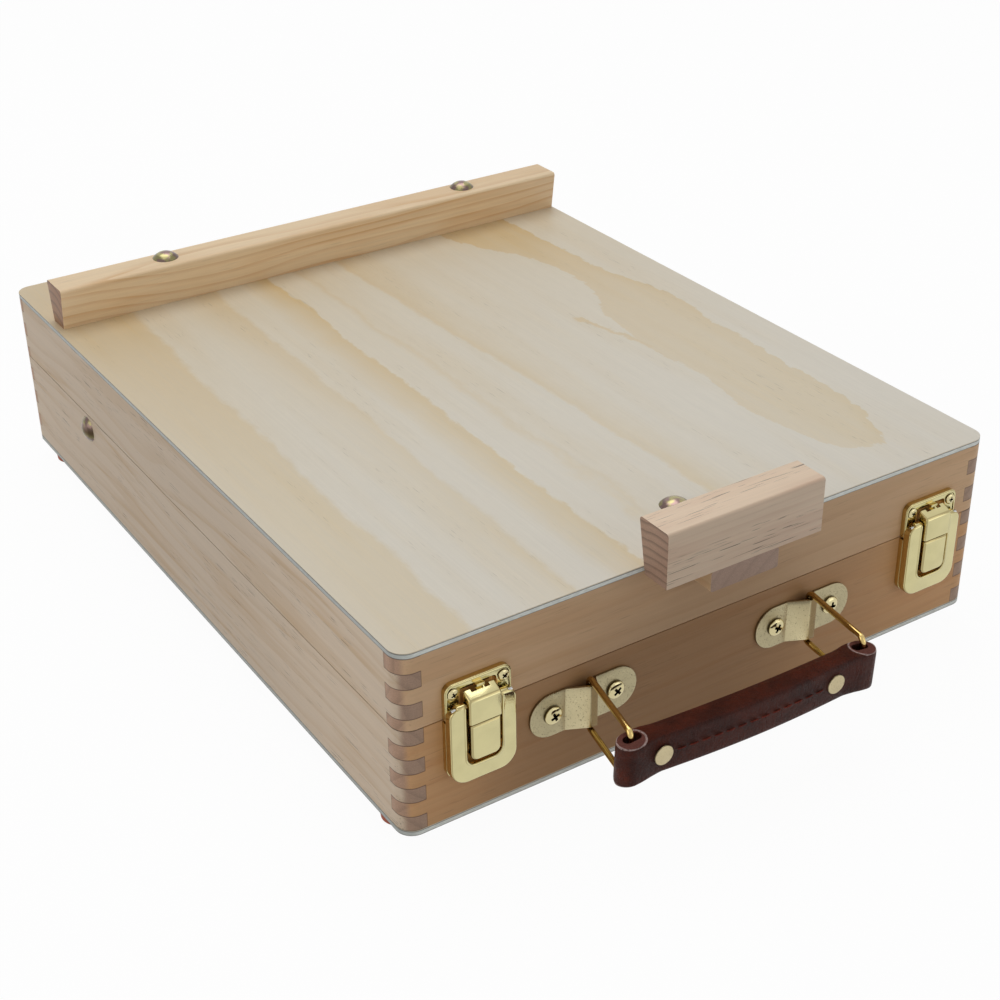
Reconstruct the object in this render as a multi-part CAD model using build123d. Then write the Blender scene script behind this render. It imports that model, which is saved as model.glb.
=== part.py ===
"""Pochade box: a finger-jointed case for painting outdoors, with a hinged lid that serves as the easel.

Millimetres, +Z up, X along the front, the front face looks along -Y.  The origin is on the floor,
under the middle of the closed box's overall outline.  Each physical piece is its own solid.
"""
import math
import os

from build123d import *

os.makedirs("parts", exist_ok=True)

# ---- case ------------------------------------------------------------------------------------------
box_width = 305.0
box_depth = 408.0
corner_radius = 7.5
board = 10.0                # thickness of the pine boards
finger = 7.0                # height of one finger of the corner joints
tray_fingers = 7
lid_fingers = 5
saw_kerf = 1.6              # lost from the lid's lowest finger when the closed case was sawn in two
ply = 2.6                   # top and bottom panels
seam_gap = 0.4
foot_height = 10.0
foot_radius = 8.0
foot_inset = 11.0           # from the side faces
front_foot_setback = 25.5
back_foot_setback = 18.0

floor_top = foot_height + ply
seam = floor_top + tray_fingers * finger
panel_under = seam + lid_fingers * finger - saw_kerf
panel_top = panel_under + ply
half_width = box_width / 2
inner_half = half_width - board

# ---- hinges on the back face -----------------------------------------------------------------------
hinge_offset = 2.6          # from the back face to the pin's axis
knuckle_radius = 2.4
hinge_pin_radius = 1.2
hinge_length = 50.0
hinge_leaf_height = 17.0
hinge_leaf = 1.2
hinge_places = (-95.0, 95.0)
running_clearance = 0.05

# ---- handle ----------------------------------------------------------------------------------------
# Where two values stand in brackets, the first is for the left side and the second for the right.
saddle_places = (-68.2, 48.1)   # the handle sits left of the middle
saddle_middles = (foot_height + 33.3, foot_height + 31.3)   # the right one is screwed on lower
bail_shift = 1.4            # the wire lies to the right of its saddle's middle
bail_axis = 2.6             # from the front face to the wire in its saddle
bail_length = 39.1
bail_height = 25.0
bail_wire = 1.35            # radius
bail_bend = 2.8
bail_middles = (foot_height + 33.6, foot_height + 31.2)
rest_swings = (11.5, 7.0)   # degrees; the handle leans to the left at rest
grip_middle = foot_height + 33.1
grip_height = 18.6
grip_lean = 0.5             # degrees; the leather's lower edge tips in towards the case
grip_tilt = 1.75            # degrees; its right end hangs lower
grip_shift = -0.7           # the leather hangs to the left of the middle between its wires
grip_forward = 0.6          # and a little in front of them
grip_half = 60.0            # from the middle to a loop
loop_radius = 5.8
neck_front = 5.0            # from the leather's middle to its faces near the rivets
neck_back = 4.6
swell_front = 6.9           # and in the padded middle, whose back is hollow
swell_back = 3.2
quarter_share = 0.72        # of the swelling, halfway between a rivet and the middle
rivet_inset = 15.6          # from a loop, before the rivets' own shift to the left
rivet_shift = -3.2
rivet_radius = 4.0
rivet_shank = 1.5
rivet_head = 0.8

# ---- frame -----------------------------------------------------------------------------------------
lean = math.radians(grip_lean)
mean_cosine = sum(math.cos(math.radians(swing)) for swing in rest_swings) / 2
wire_reach = bail_axis + bail_length * mean_cosine
grip_reach = wire_reach + grip_forward
handle_reach = grip_reach + swell_front * math.cos(lean) + grip_height / 2 * math.sin(lean)
back_reach = hinge_offset + knuckle_radius
front = (handle_reach - box_depth - back_reach) / 2     # y of the case's front face
back = front + box_depth

# ---- latches ---------------------------------------------------------------------------------------
latch_places = {"left": -119.0, "right": 119.0}
latch_half = 15.1
latch_plate = 2.4
latch_bottom = foot_height + 23.5
latch_top = foot_height + 68.3
latch_pivot_y = -4.5        # from the front face
latch_pivot_z = foot_height + 57.4
latch_pin_radius = 0.9
lever_back = 4.2
lever_thick = 2.2
lever_bottom = foot_height + 22.0
lever_opening_half = 8.9
lever_opening_bottom = foot_height + 29.0
lever_barrel = 1.9
lever_shoulder = 2.4
boss_half = 6.7
boss_bottom = foot_height + 32.5
boss_top = foot_height + 49.3
tongue_bottom = foot_height + 50.4
tongue_top = foot_height + 63.6
tongue_front = 8.2
tongue_half = 7.3

# ---- canvas ledge and sliding clamp on the lid -----------------------------------------------------
ledge_length = 301.0
ledge_shift = 1.4
ledge_height = 22.0
ledge_front_setback = 341.0
ledge_top_depth = 19.5
ledge_front_undercut = 3.3
ledge_back_undercut = 3.0
ledge_bolt_places = (-87.1, 95.2)
ledge_bolt_setback = 352.5
clamp_bar_width = 35.0
clamp_bar_thick = 9.5
clamp_bar_length = 172.0
clamp_reach = 16.0          # how far the clamp stands in front of the case when it is pushed home
clamp_block_length = 80.0
clamp_block_height = 25.2
clamp_block_foot = 14.2
clamp_block_undercut = 4.4
clamp_bolt_setback = 30.5
clamp_travel = 110.0
clamp_slot_half = 3.3
slide_gap = 0.2

# ---- bolts -----------------------------------------------------------------------------------------
bolt_radius = 3.0
bolt_head_radius = 6.75
bolt_head_height = 3.3
bolt_neck = 6.0             # square neck, across the flats
washer_radius = 8.0
washer_thick = 1.2
wing_hub_radius = 5.4
wing_hub_height = 7.0
wing_span = 13.0
wing_height = 12.0

# ---- lid props -------------------------------------------------------------------------------------
lid_opening = 95.0          # degrees
prop_setback = 317.5        # pivot bolt, from the front face
prop_z = foot_height + 43.0
prop_width = 13.0
prop_thick = 2.0
prop_rest_tilt = 2.0        # degrees above level with the lid shut
stud_from_hinge = 150.0
stud_above_seam = 10.0
stud_radius = 2.5
stud_head_radius = 4.5
prop_angles = (65.0, 80.0, lid_opening)     # lid angles at which a notch meets the stud

# ---- inside the tray -------------------------------------------------------------------------------
divider = 4.0
divider_top = foot_height + 37.5
rail_width = 8.0
rail_height = 8.0
cross_places = (118.0, 235.0)
rail_end = 233.0
palette_thick = 3.0
palette_width = 272.0
palette_depth = 218.0
palette_setback = 12.0
palette_lift_gap = 0.2


# ==== helpers =======================================================================================
def brick(x, y, z):
    """A box from its (low, high) pairs."""
    size = [high - low for low, high in (x, y, z)]
    return Pos(x[0], y[0], z[0]) * Box(*size, align=Align.MIN)


def rod(radius, start, end):
    """A round bar from one point to another."""
    along = Vector(*end) - Vector(*start)
    standing = (Align.CENTER, Align.CENTER, Align.MIN)
    return Plane(origin=start, z_dir=along) * Cylinder(radius, along.length, align=standing)


def side_plate(points, x):
    """A flat plate across X, from its outline's (y, z) points and its (low, high) pair in X."""
    face = Plane.YZ * make_face(Polyline(*points, close=True))
    return Pos(x[0], 0, 0) * extrude(face, x[1] - x[0], dir=(1, 0, 0))


def front_plate(sketch, x, z, y):
    """A sketch drawn as seen from the front, centred at (x, z), as a plate between two Y values."""
    face = Plane(origin=(x, y[1], z), x_dir=(1, 0, 0), z_dir=(0, -1, 0)) * sketch
    return extrude(face, y[1] - y[0], dir=(0, -1, 0))


def looking(origin, z_dir):
    """The placement of a fastener whose head or wings point along z_dir."""
    x_dir = (0, 0, 1) if abs(z_dir[0]) + abs(z_dir[1]) > 0.5 else (1, 0, 0)
    return Plane(origin=origin, x_dir=x_dir, z_dir=z_dir)


def write(name, *shapes):
    """One STEP per node; several solids in a node are identical or matching pieces."""
    solids = [solid for shape in shapes for solid in shape.solids()]
    whole = solids[0] if len(solids) == 1 else Compound(children=solids)
    export_step(whole, f"parts/{name}.step")


def carriage_bolt(length, neck_length):
    """Seat at z=0: domed head above, square neck and round shank below."""
    dome_radius = (bolt_head_radius**2 + bolt_head_height**2) / (2 * bolt_head_height)
    dome = Pos(0, 0, bolt_head_height - dome_radius) * Sphere(dome_radius)
    head = dome & brick((-10, 10), (-10, 10), (0, bolt_head_height))
    neck = brick((-bolt_neck / 2, bolt_neck / 2), (-bolt_neck / 2, bolt_neck / 2), (-neck_length, 0))
    return head + neck + rod(bolt_radius, (0, 0, 0), (0, 0, -length))


def bolt_hole(depth, neck_length):
    """What a carriage bolt needs cut below its seat."""
    side = bolt_neck / 2 + running_clearance
    neck = brick((-side, side), (-side, side), (-neck_length, 0))
    return neck + rod(bolt_radius + running_clearance, (0, 0, 0), (0, 0, -depth))


def washer():
    ring = rod(washer_radius, (0, 0, 0), (0, 0, washer_thick))
    return ring - rod(bolt_radius + 0.3, (0, 0, -1), (0, 0, washer_thick + 1))


def wing_nut():
    """Seat at z=0, two ears rising from a tapered hub."""
    standing = (Align.CENTER, Align.CENTER, Align.MIN)
    hub = Cone(wing_hub_radius, wing_hub_radius - 1.2, wing_hub_height, align=standing)
    outline = [(0, 1.0), (wing_hub_radius + 1.0, 1.5), (wing_span, 5.5)]
    outline += [(wing_span, 9.0), (wing_span - 2.0, wing_height), (wing_span - 5.0, wing_height - 1.0)]
    outline += [(wing_hub_radius - 1.0, 4.5), (0, 4.5)]
    ear_face = Plane.XZ * make_face(Polyline(*outline, close=True))
    ear = Pos(0, 1.1, 0) * extrude(ear_face, 2.2, dir=(0, -1, 0))
    nut = hub + ear + Rot(0, 0, 180) * ear
    return nut - rod(bolt_radius + running_clearance, (0, 0, -1), (0, 0, wing_height + 1))


def pan_screw(head_radius, head_height, shank_radius, length):
    """Seat at z=0: domed head with a cross recess above, shank below."""
    dome_radius = (head_radius**2 + head_height**2) / (2 * head_height)
    dome = Pos(0, 0, head_height - dome_radius) * Sphere(dome_radius)
    head = dome & brick((-10, 10), (-10, 10), (0, head_height))
    arm = head_radius * 0.55
    recess_floor = head_height * 0.35
    slot_half = arm * 0.22
    for turn in (45, 135):
        slot = brick((-arm, arm), (-slot_half, slot_half), (recess_floor, head_height + 1))
        head -= Rot(0, 0, turn) * slot
    tip = Cone(0.3, shank_radius, 1.5, align=(Align.CENTER, Align.CENTER, Align.MAX))
    return head + rod(shank_radius, (0, 0, 0), (0, 0, 1.5 - length)) + Pos(0, 0, 1.5 - length) * tip


def pilot(shank_radius, length):
    """The hole that a screw's shank sits in."""
    return rod(shank_radius + running_clearance, (0, 0, 1), (0, 0, -length - 0.2))


def flat_screw(head_radius, head_height, shank_radius, length):
    """Countersunk: the head's flat top is at z=0 and everything lies below."""
    head = Cone(shank_radius, head_radius, head_height, align=(Align.CENTER, Align.CENTER, Align.MAX))
    slot = brick((-head_radius, head_radius), (-0.35, 0.35), (-0.5, 1))
    return head + rod(shank_radius, (0, 0, -head_height / 2), (0, 0, -length)) - slot


def flat_screw_hole(head_radius, head_height, shank_radius, length):
    grow = running_clearance
    hanging = (Align.CENTER, Align.CENTER, Align.MAX)
    head = Cone(shank_radius + grow, head_radius + grow, head_height, align=hanging)
    return head + rod(shank_radius + grow, (0, 0, 0), (0, 0, -length - 0.2))


# ==== case boards ===================================================================================
case_outline = Pos(0, front + box_depth / 2, 0) * RectangleRounded(box_width, box_depth, corner_radius)


def case_prism(low, high):
    return extrude(Pos(0, 0, low) * case_outline, high - low)


def finger_levels(low, high, first, count):
    """The (low, high) pair of each finger; the first one is as high as given, the rest are whole."""
    edges = [low, low + first] + [low + first + finger * i for i in range(1, count)]
    edges[-1] = high
    return list(zip(edges[:-1], edges[1:]))


tray_low, tray_high = floor_top, seam - seam_gap / 2
lid_low, lid_high = seam + seam_gap / 2, panel_under
tray_levels = finger_levels(tray_low, tray_high, finger, tray_fingers)
lid_levels = finger_levels(lid_low, lid_high, finger - saw_kerf - seam_gap / 2, lid_fingers)


def across_board(face, levels, own):
    """Front or back board: a plank between the corners, and this board's own fingers at both ends."""
    low, high = levels[0][0], levels[-1][1]
    y = (front, front + board) if face == "front" else (back - board, back)
    shape = brick((-inner_half, inner_half), y, (low, high))
    for level in levels[own::2]:
        shape += brick((-half_width, half_width), y, level)
    return shape & case_prism(low, high)


def side_board(side, levels, own):
    low, high = levels[0][0], levels[-1][1]
    x = (-half_width, -inner_half) if side == "left" else (inner_half, half_width)
    shape = brick(x, (front + board, back - board), (low, high))
    for level in levels[own::2]:
        shape += brick(x, (front, back), level)
    return shape & case_prism(low, high)


# ==== where the fasteners go ========================================================================
small_screw = dict(head_radius=2.5, head_height=1.2, shank_radius=1.1, length=8.0)
saddle_screw = dict(head_radius=4.2, head_height=2.1, shank_radius=1.6, length=9.0)
hinge_screw = dict(head_radius=2.3, head_height=1.1, shank_radius=1.1, length=8.0)

saddle_thick = 1.2
saddle_length = 52.6
saddle_height = 20.4
saddle_screw_offset = 15.4
keeper_screw_offset = 11.4
plate_screw_offset = 10.6
hinge_screw_offset = 17.0

keeper_screw_seats = [
    looking((x + dx, front - latch_plate, latch_top - 4.6), (0, -1, 0))
    for x in latch_places.values() for dx in (-keeper_screw_offset, keeper_screw_offset)
]
plate_screw_seats = [
    looking((x + dx, front - latch_plate, latch_bottom + 12.0), (0, -1, 0))
    for x in latch_places.values() for dx in (-plate_screw_offset, plate_screw_offset)
]
saddle_screw_seats = [
    looking((x + dx, front - saddle_thick, middle), (0, -1, 0))
    for x, middle in zip(saddle_places, saddle_middles) for dx in (-saddle_screw_offset, saddle_screw_offset)
]


def hinge_seats(dz):
    return [
        looking((x + dx, back + hinge_leaf, seam + dz), (0, 1, 0))
        for x in hinge_places for dx in (-hinge_screw_offset, 0, hinge_screw_offset)
    ]


tray_hinge_seats = hinge_seats(-11.0)
lid_hinge_seats = hinge_seats(11.0)

prop_seats = {
    side: looking((sign * half_width, front + prop_setback, prop_z), (sign, 0, 0))
    for side, sign in (("left", -1), ("right", 1))
}
ledge_seats = [
    looking((x, front + ledge_bolt_setback, panel_top + ledge_height), (0, 0, 1)) for x in ledge_bolt_places
]
clamp_seat = looking((0, front + clamp_bolt_setback, panel_top), (0, 0, 1))

# ==== tray ==========================================================================================
tray_front = across_board("front", tray_levels, 1)
tray_back = across_board("back", tray_levels, 1)
tray_left = side_board("left", tray_levels, 0)
tray_right = side_board("right", tray_levels, 0)

for seat in plate_screw_seats:
    tray_front -= seat * pilot(small_screw["shank_radius"], small_screw["length"])
for seat in saddle_screw_seats:
    tray_front -= seat * pilot(saddle_screw["shank_radius"], saddle_screw["length"])
for seat in tray_hinge_seats:
    tray_back -= seat * pilot(hinge_screw["shank_radius"], hinge_screw["length"])
prop_bolt_neck = 5.0
prop_bolt_length = board + washer_thick * 2 + prop_thick + wing_hub_height + 3.5
tray_left -= prop_seats["left"] * bolt_hole(board + 1, prop_bolt_neck)
tray_right -= prop_seats["right"] * bolt_hole(board + 1, prop_bolt_neck)

write("tray_front_board", tray_front)
write("tray_back_board", tray_back)
write("tray_left_board", tray_left)
write("tray_right_board", tray_right)
write("tray_bottom_panel", case_prism(foot_height, floor_top))


def foot(x, y):
    """A tapered rubber foot with a rounded tread."""
    body = Cone(foot_radius - 0.8, foot_radius, foot_height, align=(Align.CENTER, Align.CENTER, Align.MIN))
    body = fillet(body.edges().group_by(Axis.Z)[0], 1.0)
    return Pos(x, y, 0) * body


foot_x = half_width - foot_inset
feet = [
    foot(x, y) for x in (-foot_x, foot_x) for y in (front + front_foot_setback, back - back_foot_setback)
]
write("rubber_feet", *feet)


def cross_divider(setback):
    y = front + setback
    return brick((-inner_half, inner_half), (y - divider / 2, y + divider / 2), (floor_top, divider_top))


def long_divider(x, start, end):
    return brick((x - divider / 2, x + divider / 2), (front + start, front + end), (floor_top, divider_top))


write("divider_cross_front", cross_divider(cross_places[0]))
write("divider_cross_back", cross_divider(cross_places[1]))
write("divider_middle", long_divider(0, cross_places[0] + divider / 2, cross_places[1] - divider / 2))
rear_start = cross_places[1] + divider / 2
rear_dividers = [long_divider(x, rear_start, box_depth - board) for x in (-47.5, 47.5)]
write("divider_rear_pair", *rear_dividers)


def palette_rail(sign):
    """A strip on the side board that carries the palette, notched over the front cross divider."""
    x = sorted((sign * inner_half, sign * (inner_half - rail_width)))
    low = divider_top - rail_height
    rail = brick(x, (front + board, front + rail_end), (low, divider_top))
    y = front + cross_places[0]
    return rail - brick((-half_width, half_width), (y - divider / 2, y + divider / 2), (0, divider_top + 1))


write("palette_rails", palette_rail(-1), palette_rail(1))

# ==== palette =======================================================================================
thumb_x, thumb_y = 96.0, 58.0
palette_low = divider_top + palette_lift_gap
palette_face = Pos(0, front + palette_setback + palette_depth / 2, palette_low) * RectangleRounded(
    palette_width, palette_depth, 14
)
thumb_face = Pos(thumb_x, front + thumb_y, palette_low) * Rot(0, 0, 25) * Ellipse(19, 13)
palette = extrude(palette_face, palette_thick) - extrude(thumb_face, palette_thick)
write("palette", palette)

# ==== lid ===========================================================================================
lid_front = across_board("front", lid_levels, 0)
lid_back = across_board("back", lid_levels, 0)
lid_left = side_board("left", lid_levels, 1)
lid_right = side_board("right", lid_levels, 1)

bar_half = clamp_bar_width / 2
bar_top = panel_under - slide_gap
bar_low = bar_top - clamp_bar_thick
mouth_half = bar_half + 0.3
mouth = brick((-mouth_half, mouth_half), (front - 1, front + board + 1), (bar_low - 0.3, panel_under + 1))
lid_front -= mouth
for seat in keeper_screw_seats:
    lid_front -= seat * pilot(small_screw["shank_radius"], small_screw["length"])
for seat in lid_hinge_seats:
    lid_back -= seat * pilot(hinge_screw["shank_radius"], hinge_screw["length"])

stud_y = back + hinge_offset - stud_from_hinge
stud_z = seam + stud_above_seam
stud_gap = washer_thick * 2 + prop_thick        # room between the board and the stud's head
stud_root = 8.0
stud_seats = {
    side: looking((sign * (inner_half - stud_gap), stud_y, stud_z), (-sign, 0, 0))
    for side, sign in (("left", -1), ("right", 1))
}
stud_hole = rod(stud_radius + running_clearance, (0, 0, 0), (0, 0, -stud_gap - stud_root))
lid_left -= stud_seats["left"] * stud_hole
lid_right -= stud_seats["right"] * stud_hole

write("lid_front_board", lid_front)
write("lid_back_board", lid_back)
write("lid_left_board", lid_left)
write("lid_right_board", lid_right)

lid_panel = case_prism(panel_under, panel_top)
ledge_neck = 5.0
for seat in ledge_seats:
    lid_panel -= seat * bolt_hole(ledge_height + ply + 1, ledge_neck)
lid_panel -= clamp_seat * bolt_hole(ply + 1, ply)
write("lid_top_panel", lid_panel)


def stud():
    """A shouldered screw: flat head above its seat, round shoulder running back into the board."""
    head = rod(stud_head_radius, (0, 0, 0), (0, 0, 1.6))
    slot = brick((-stud_head_radius, stud_head_radius), (-0.5, 0.5), (0.9, 2))
    return head + rod(stud_radius, (0, 0, 0), (0, 0, -stud_gap - stud_root + 0.2)) - slot


write("prop_studs", *[seat * stud() for seat in stud_seats.values()])

# ---- canvas ledge ----------------------------------------------------------------------------------
ledge_y = front + ledge_front_setback
ledge_outline = [
    (ledge_y + ledge_front_undercut, panel_top),
    (ledge_y, panel_top + ledge_height),
    (ledge_y + ledge_top_depth, panel_top + ledge_height),
    (ledge_y + ledge_top_depth - ledge_back_undercut, panel_top),
]
ledge_x = (ledge_shift - ledge_length / 2, ledge_shift + ledge_length / 2)
ledge = side_plate(ledge_outline, ledge_x)
ledge = fillet(ledge.edges().filter_by(Axis.X).group_by(Axis.Z)[-1], 1.5)
for seat in ledge_seats:
    ledge -= seat * bolt_hole(ledge_height + 1, ledge_neck)
write("canvas_ledge", ledge)

ledge_bolt_length = ledge_height + ply + washer_thick + wing_hub_height + 4
write("ledge_bolts", *[seat * carriage_bolt(ledge_bolt_length, ledge_neck) for seat in ledge_seats])

# ---- sliding clamp ---------------------------------------------------------------------------------
clamp_front = front - clamp_reach
bar = brick((-bar_half, bar_half), (clamp_front, clamp_front + clamp_bar_length), (bar_low, bar_top))
bar = fillet(bar.edges().filter_by(Axis.Y), 1.2)
slot_start = front + clamp_bolt_setback
slot_face = SlotCenterToCenter(clamp_travel, 2 * clamp_slot_half, rotation=90)
bar -= Pos(0, slot_start + clamp_travel / 2, bar_low - 1) * extrude(slot_face, clamp_bar_thick + 2)
dowel_radius = 2.0
dowel_places = (-10.0, 10.0)
dowel_y = clamp_front + 7.5
dowel_low, dowel_high = bar_low + 1.5, bar_top + 10.0
dowels = [rod(dowel_radius, (x, dowel_y, dowel_low), (x, dowel_y, dowel_high)) for x in dowel_places]
dowel_holes = [
    rod(dowel_radius + running_clearance, (x, dowel_y, dowel_low - 0.1), (x, dowel_y, dowel_high + 0.1))
    for x in dowel_places
]
block_half = clamp_block_length / 2
block_back = clamp_front + clamp_block_foot
block_outline = [
    (clamp_front, bar_top),
    (clamp_front, bar_top + clamp_block_height),
    (block_back + clamp_block_undercut, bar_top + clamp_block_height),
    (block_back, bar_top),
]
block = side_plate(block_outline, (-block_half, block_half))
block = fillet(block.edges().filter_by(Axis.X).group_by(Axis.Z)[-1], 1.5)
for hole in dowel_holes:
    bar -= hole
    block -= hole
write("clamp_bar", bar)
write("clamp_block", block)
write("clamp_dowels", *dowels)


def clamp_guide(sign):
    """A strip under the lid panel that keeps the bar straight."""
    x = sorted((sign * (bar_half + 0.4), sign * (bar_half + 8.4)))
    return brick(x, (front + board + 2, front + 165.0), (panel_under - 6.0, panel_under))


write("clamp_guides", clamp_guide(-1), clamp_guide(1))
clamp_bolt_length = ply + slide_gap + clamp_bar_thick + 0.2 + washer_thick + wing_hub_height + 3
write("clamp_bolt", clamp_seat * carriage_bolt(clamp_bolt_length, ply))

# ---- washers and wing nuts -------------------------------------------------------------------------
nut_gap = 0.1
clamp_washer_z = bar_low - 0.2 - washer_thick
ledge_washer_z = panel_under - washer_thick
lid_washers = [Pos(x, front + ledge_bolt_setback, ledge_washer_z) * washer() for x in ledge_bolt_places]
lid_washers.append(Pos(0, front + clamp_bolt_setback, clamp_washer_z) * washer())
write("lid_washers", *lid_washers)

lid_nut_seats = {
    "wing_nut_ledge_left": (ledge_bolt_places[0], front + ledge_bolt_setback, ledge_washer_z - nut_gap),
    "wing_nut_ledge_right": (ledge_bolt_places[1], front + ledge_bolt_setback, ledge_washer_z - nut_gap),
    "wing_nut_clamp": (0, front + clamp_bolt_setback, clamp_washer_z - nut_gap),
}
for name, origin in lid_nut_seats.items():
    write(name, looking(origin, (0, 0, -1)) * wing_nut())

prop_bolts = [seat * carriage_bolt(prop_bolt_length, prop_bolt_neck) for seat in prop_seats.values()]
write("prop_bolts", *prop_bolts)
prop_washers = []
prop_gap = 0.2
prop_outer = inner_half - washer_thick - prop_gap            # the prop's face next to the board
prop_inner = prop_outer - prop_thick
for side, sign in (("left", -1), ("right", 1)):
    y, z = front + prop_setback, prop_z
    prop_washers.append(looking((sign * inner_half, y, z), (-sign, 0, 0)) * washer())
    inner_seat = prop_inner - prop_gap
    prop_washers.append(looking((sign * inner_seat, y, z), (-sign, 0, 0)) * washer())
    nut_seat = (sign * (inner_seat - washer_thick - nut_gap), y, z)
    write(f"wing_nut_prop_{side}", looking(nut_seat, (-sign, 0, 0)) * wing_nut())
write("prop_washers", *prop_washers)


# ==== lid props =====================================================================================
def stud_from_pivot(lid_angle):
    """Where the stud stands, seen from the prop's pivot: forwards and up, with the lid at an angle."""
    turn = math.radians(lid_angle)
    forward = stud_from_hinge * math.cos(turn) - stud_above_seam * math.sin(turn)
    up = stud_from_hinge * math.sin(turn) + stud_above_seam * math.cos(turn)
    pivot_forward = back + hinge_offset - (front + prop_setback)
    pivot_up = prop_z - seam
    return forward - pivot_forward, up - pivot_up


def direction_of_stud(lid_angle):
    forward, up = stud_from_pivot(lid_angle)
    return math.degrees(math.atan2(up, forward))


prop_swing = direction_of_stud(lid_opening) - prop_rest_tilt      # how far a prop turns while the lid opens
prop_ratio = prop_swing / lid_opening
prop_length = math.hypot(*stud_from_pivot(lid_opening))
print("prop ratio", round(prop_ratio, 6), "swing", round(prop_swing, 4), "length", round(prop_length, 2))


def stud_on_prop(lid_angle):
    """The stud seen by the prop itself: along its length, and across it."""
    turn = math.radians(direction_of_stud(lid_angle) - prop_rest_tilt - prop_ratio * lid_angle)
    reach = math.hypot(*stud_from_pivot(lid_angle))
    return Vector(reach * math.cos(turn), reach * math.sin(turn))


def prop(sign):
    """A flat bar with its pivot hole at the origin, lying forwards, and notches in its upper edge."""
    half = prop_width / 2
    face = Pos(prop_length / 2, 0) * SlotCenterToCenter(prop_length, prop_width)
    face -= Circle(bolt_radius + running_clearance)
    coming = (stud_on_prop(lid_opening - 3.5) - stud_on_prop(lid_opening)).normalized()
    lead = coming * (half / coming.Y + 4)        # how the stud comes into its notch
    for angle in prop_angles:
        reach = math.hypot(*stud_from_pivot(angle))
        seat = Vector(reach, 0)
        notch = SlotCenterPoint(seat + lead / 2, seat, 2 * stud_radius + 0.6)
        face -= notch
    bar_plane = Plane(
        origin=(sign * prop_outer, front + prop_setback, prop_z),
        x_dir=(0, -math.cos(math.radians(prop_rest_tilt)), math.sin(math.radians(prop_rest_tilt))),
        z_dir=(-1, 0, 0),
    )
    return extrude(bar_plane * face, prop_thick, dir=(-sign, 0, 0))


write("prop_left", prop(-1))
write("prop_right", prop(1))


# ==== hinges ========================================================================================
knuckle_gap = 0.3
knuckle_third = hinge_length / 3


def hinge_leaf_half(x, part):
    """One leaf: the tray's has the two outer knuckles, the lid's has the middle one."""
    up = 1 if part == "lid" else -1
    low, high = sorted((seam, seam + up * hinge_leaf_height))
    plate = brick((x - hinge_length / 2, x + hinge_length / 2), (back, back + hinge_leaf), (low, high))
    axis_y = back + hinge_offset
    middle = (x - knuckle_third / 2, x + knuckle_third / 2)
    outer = [(x - hinge_length / 2, middle[0]), (middle[1], x + hinge_length / 2)]
    own, other = ([middle], outer) if part == "lid" else (outer, [middle])
    reach = knuckle_radius + 0.4
    for start, end in other:
        span = (start - knuckle_gap, end + knuckle_gap)
        plate -= brick(span, (back - 1, back + 8), (seam - reach, seam + reach))
    for start, end in own:
        start = start + (knuckle_gap / 2 if start > x - hinge_length / 2 else 0)
        end = end - (knuckle_gap / 2 if end < x + hinge_length / 2 else 0)
        plate += rod(knuckle_radius, (start, axis_y, seam), (end, axis_y, seam))
    bore = hinge_pin_radius + (running_clearance if part == "lid" else 0)
    return plate - rod(bore, (x - hinge_length, axis_y, seam), (x + hinge_length, axis_y, seam))


def drilled(shape, seats, cutter):
    for seat in seats:
        shape -= seat * cutter
    return shape


screw_cut = flat_screw_hole(**hinge_screw)
for part, seats in (("tray", tray_hinge_seats), ("lid", lid_hinge_seats)):
    leaves = [drilled(hinge_leaf_half(x, part), seats, screw_cut) for x in hinge_places]
    write(f"hinge_{part}_leaves", *leaves)
    write(f"hinge_{part}_screws", *[seat * flat_screw(**hinge_screw) for seat in seats])
hinge_pins = [
    rod(
        hinge_pin_radius,
        (x - hinge_length / 2 + 0.3, back + hinge_offset, seam),
        (x + hinge_length / 2 - 0.3, back + hinge_offset, seam),
    )
    for x in hinge_places
]
write("hinge_pins", *hinge_pins)

# ==== latches =======================================================================================
notch_half = 12.6
notch_top = foot_height + 58.0
notch_middle_half = 8.3
notch_middle_top = foot_height + 65.2
notch_floor = 0.6           # what is left of the keeper behind the lever and the tongue
ear_inner, ear_outer = 3.2, 4.4
ear_eye = 1.6
ear_root = 1.65             # from the front face to the middle of the ear's foot
tongue_wall = 1.0
tongue_back = 3.2
tongue_rounding = 2.4
tab_half = 1.8


def rounded_plate(half, low, high, radius, corners):
    """A plate sketch centred on X with either its top or its bottom corners rounded."""
    height = high - low
    sketch = Rectangle(2 * half, height)
    row = sketch.vertices().group_by(Axis.Y)[0 if corners == "bottom" else -1]
    return fillet(row, radius)


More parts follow.
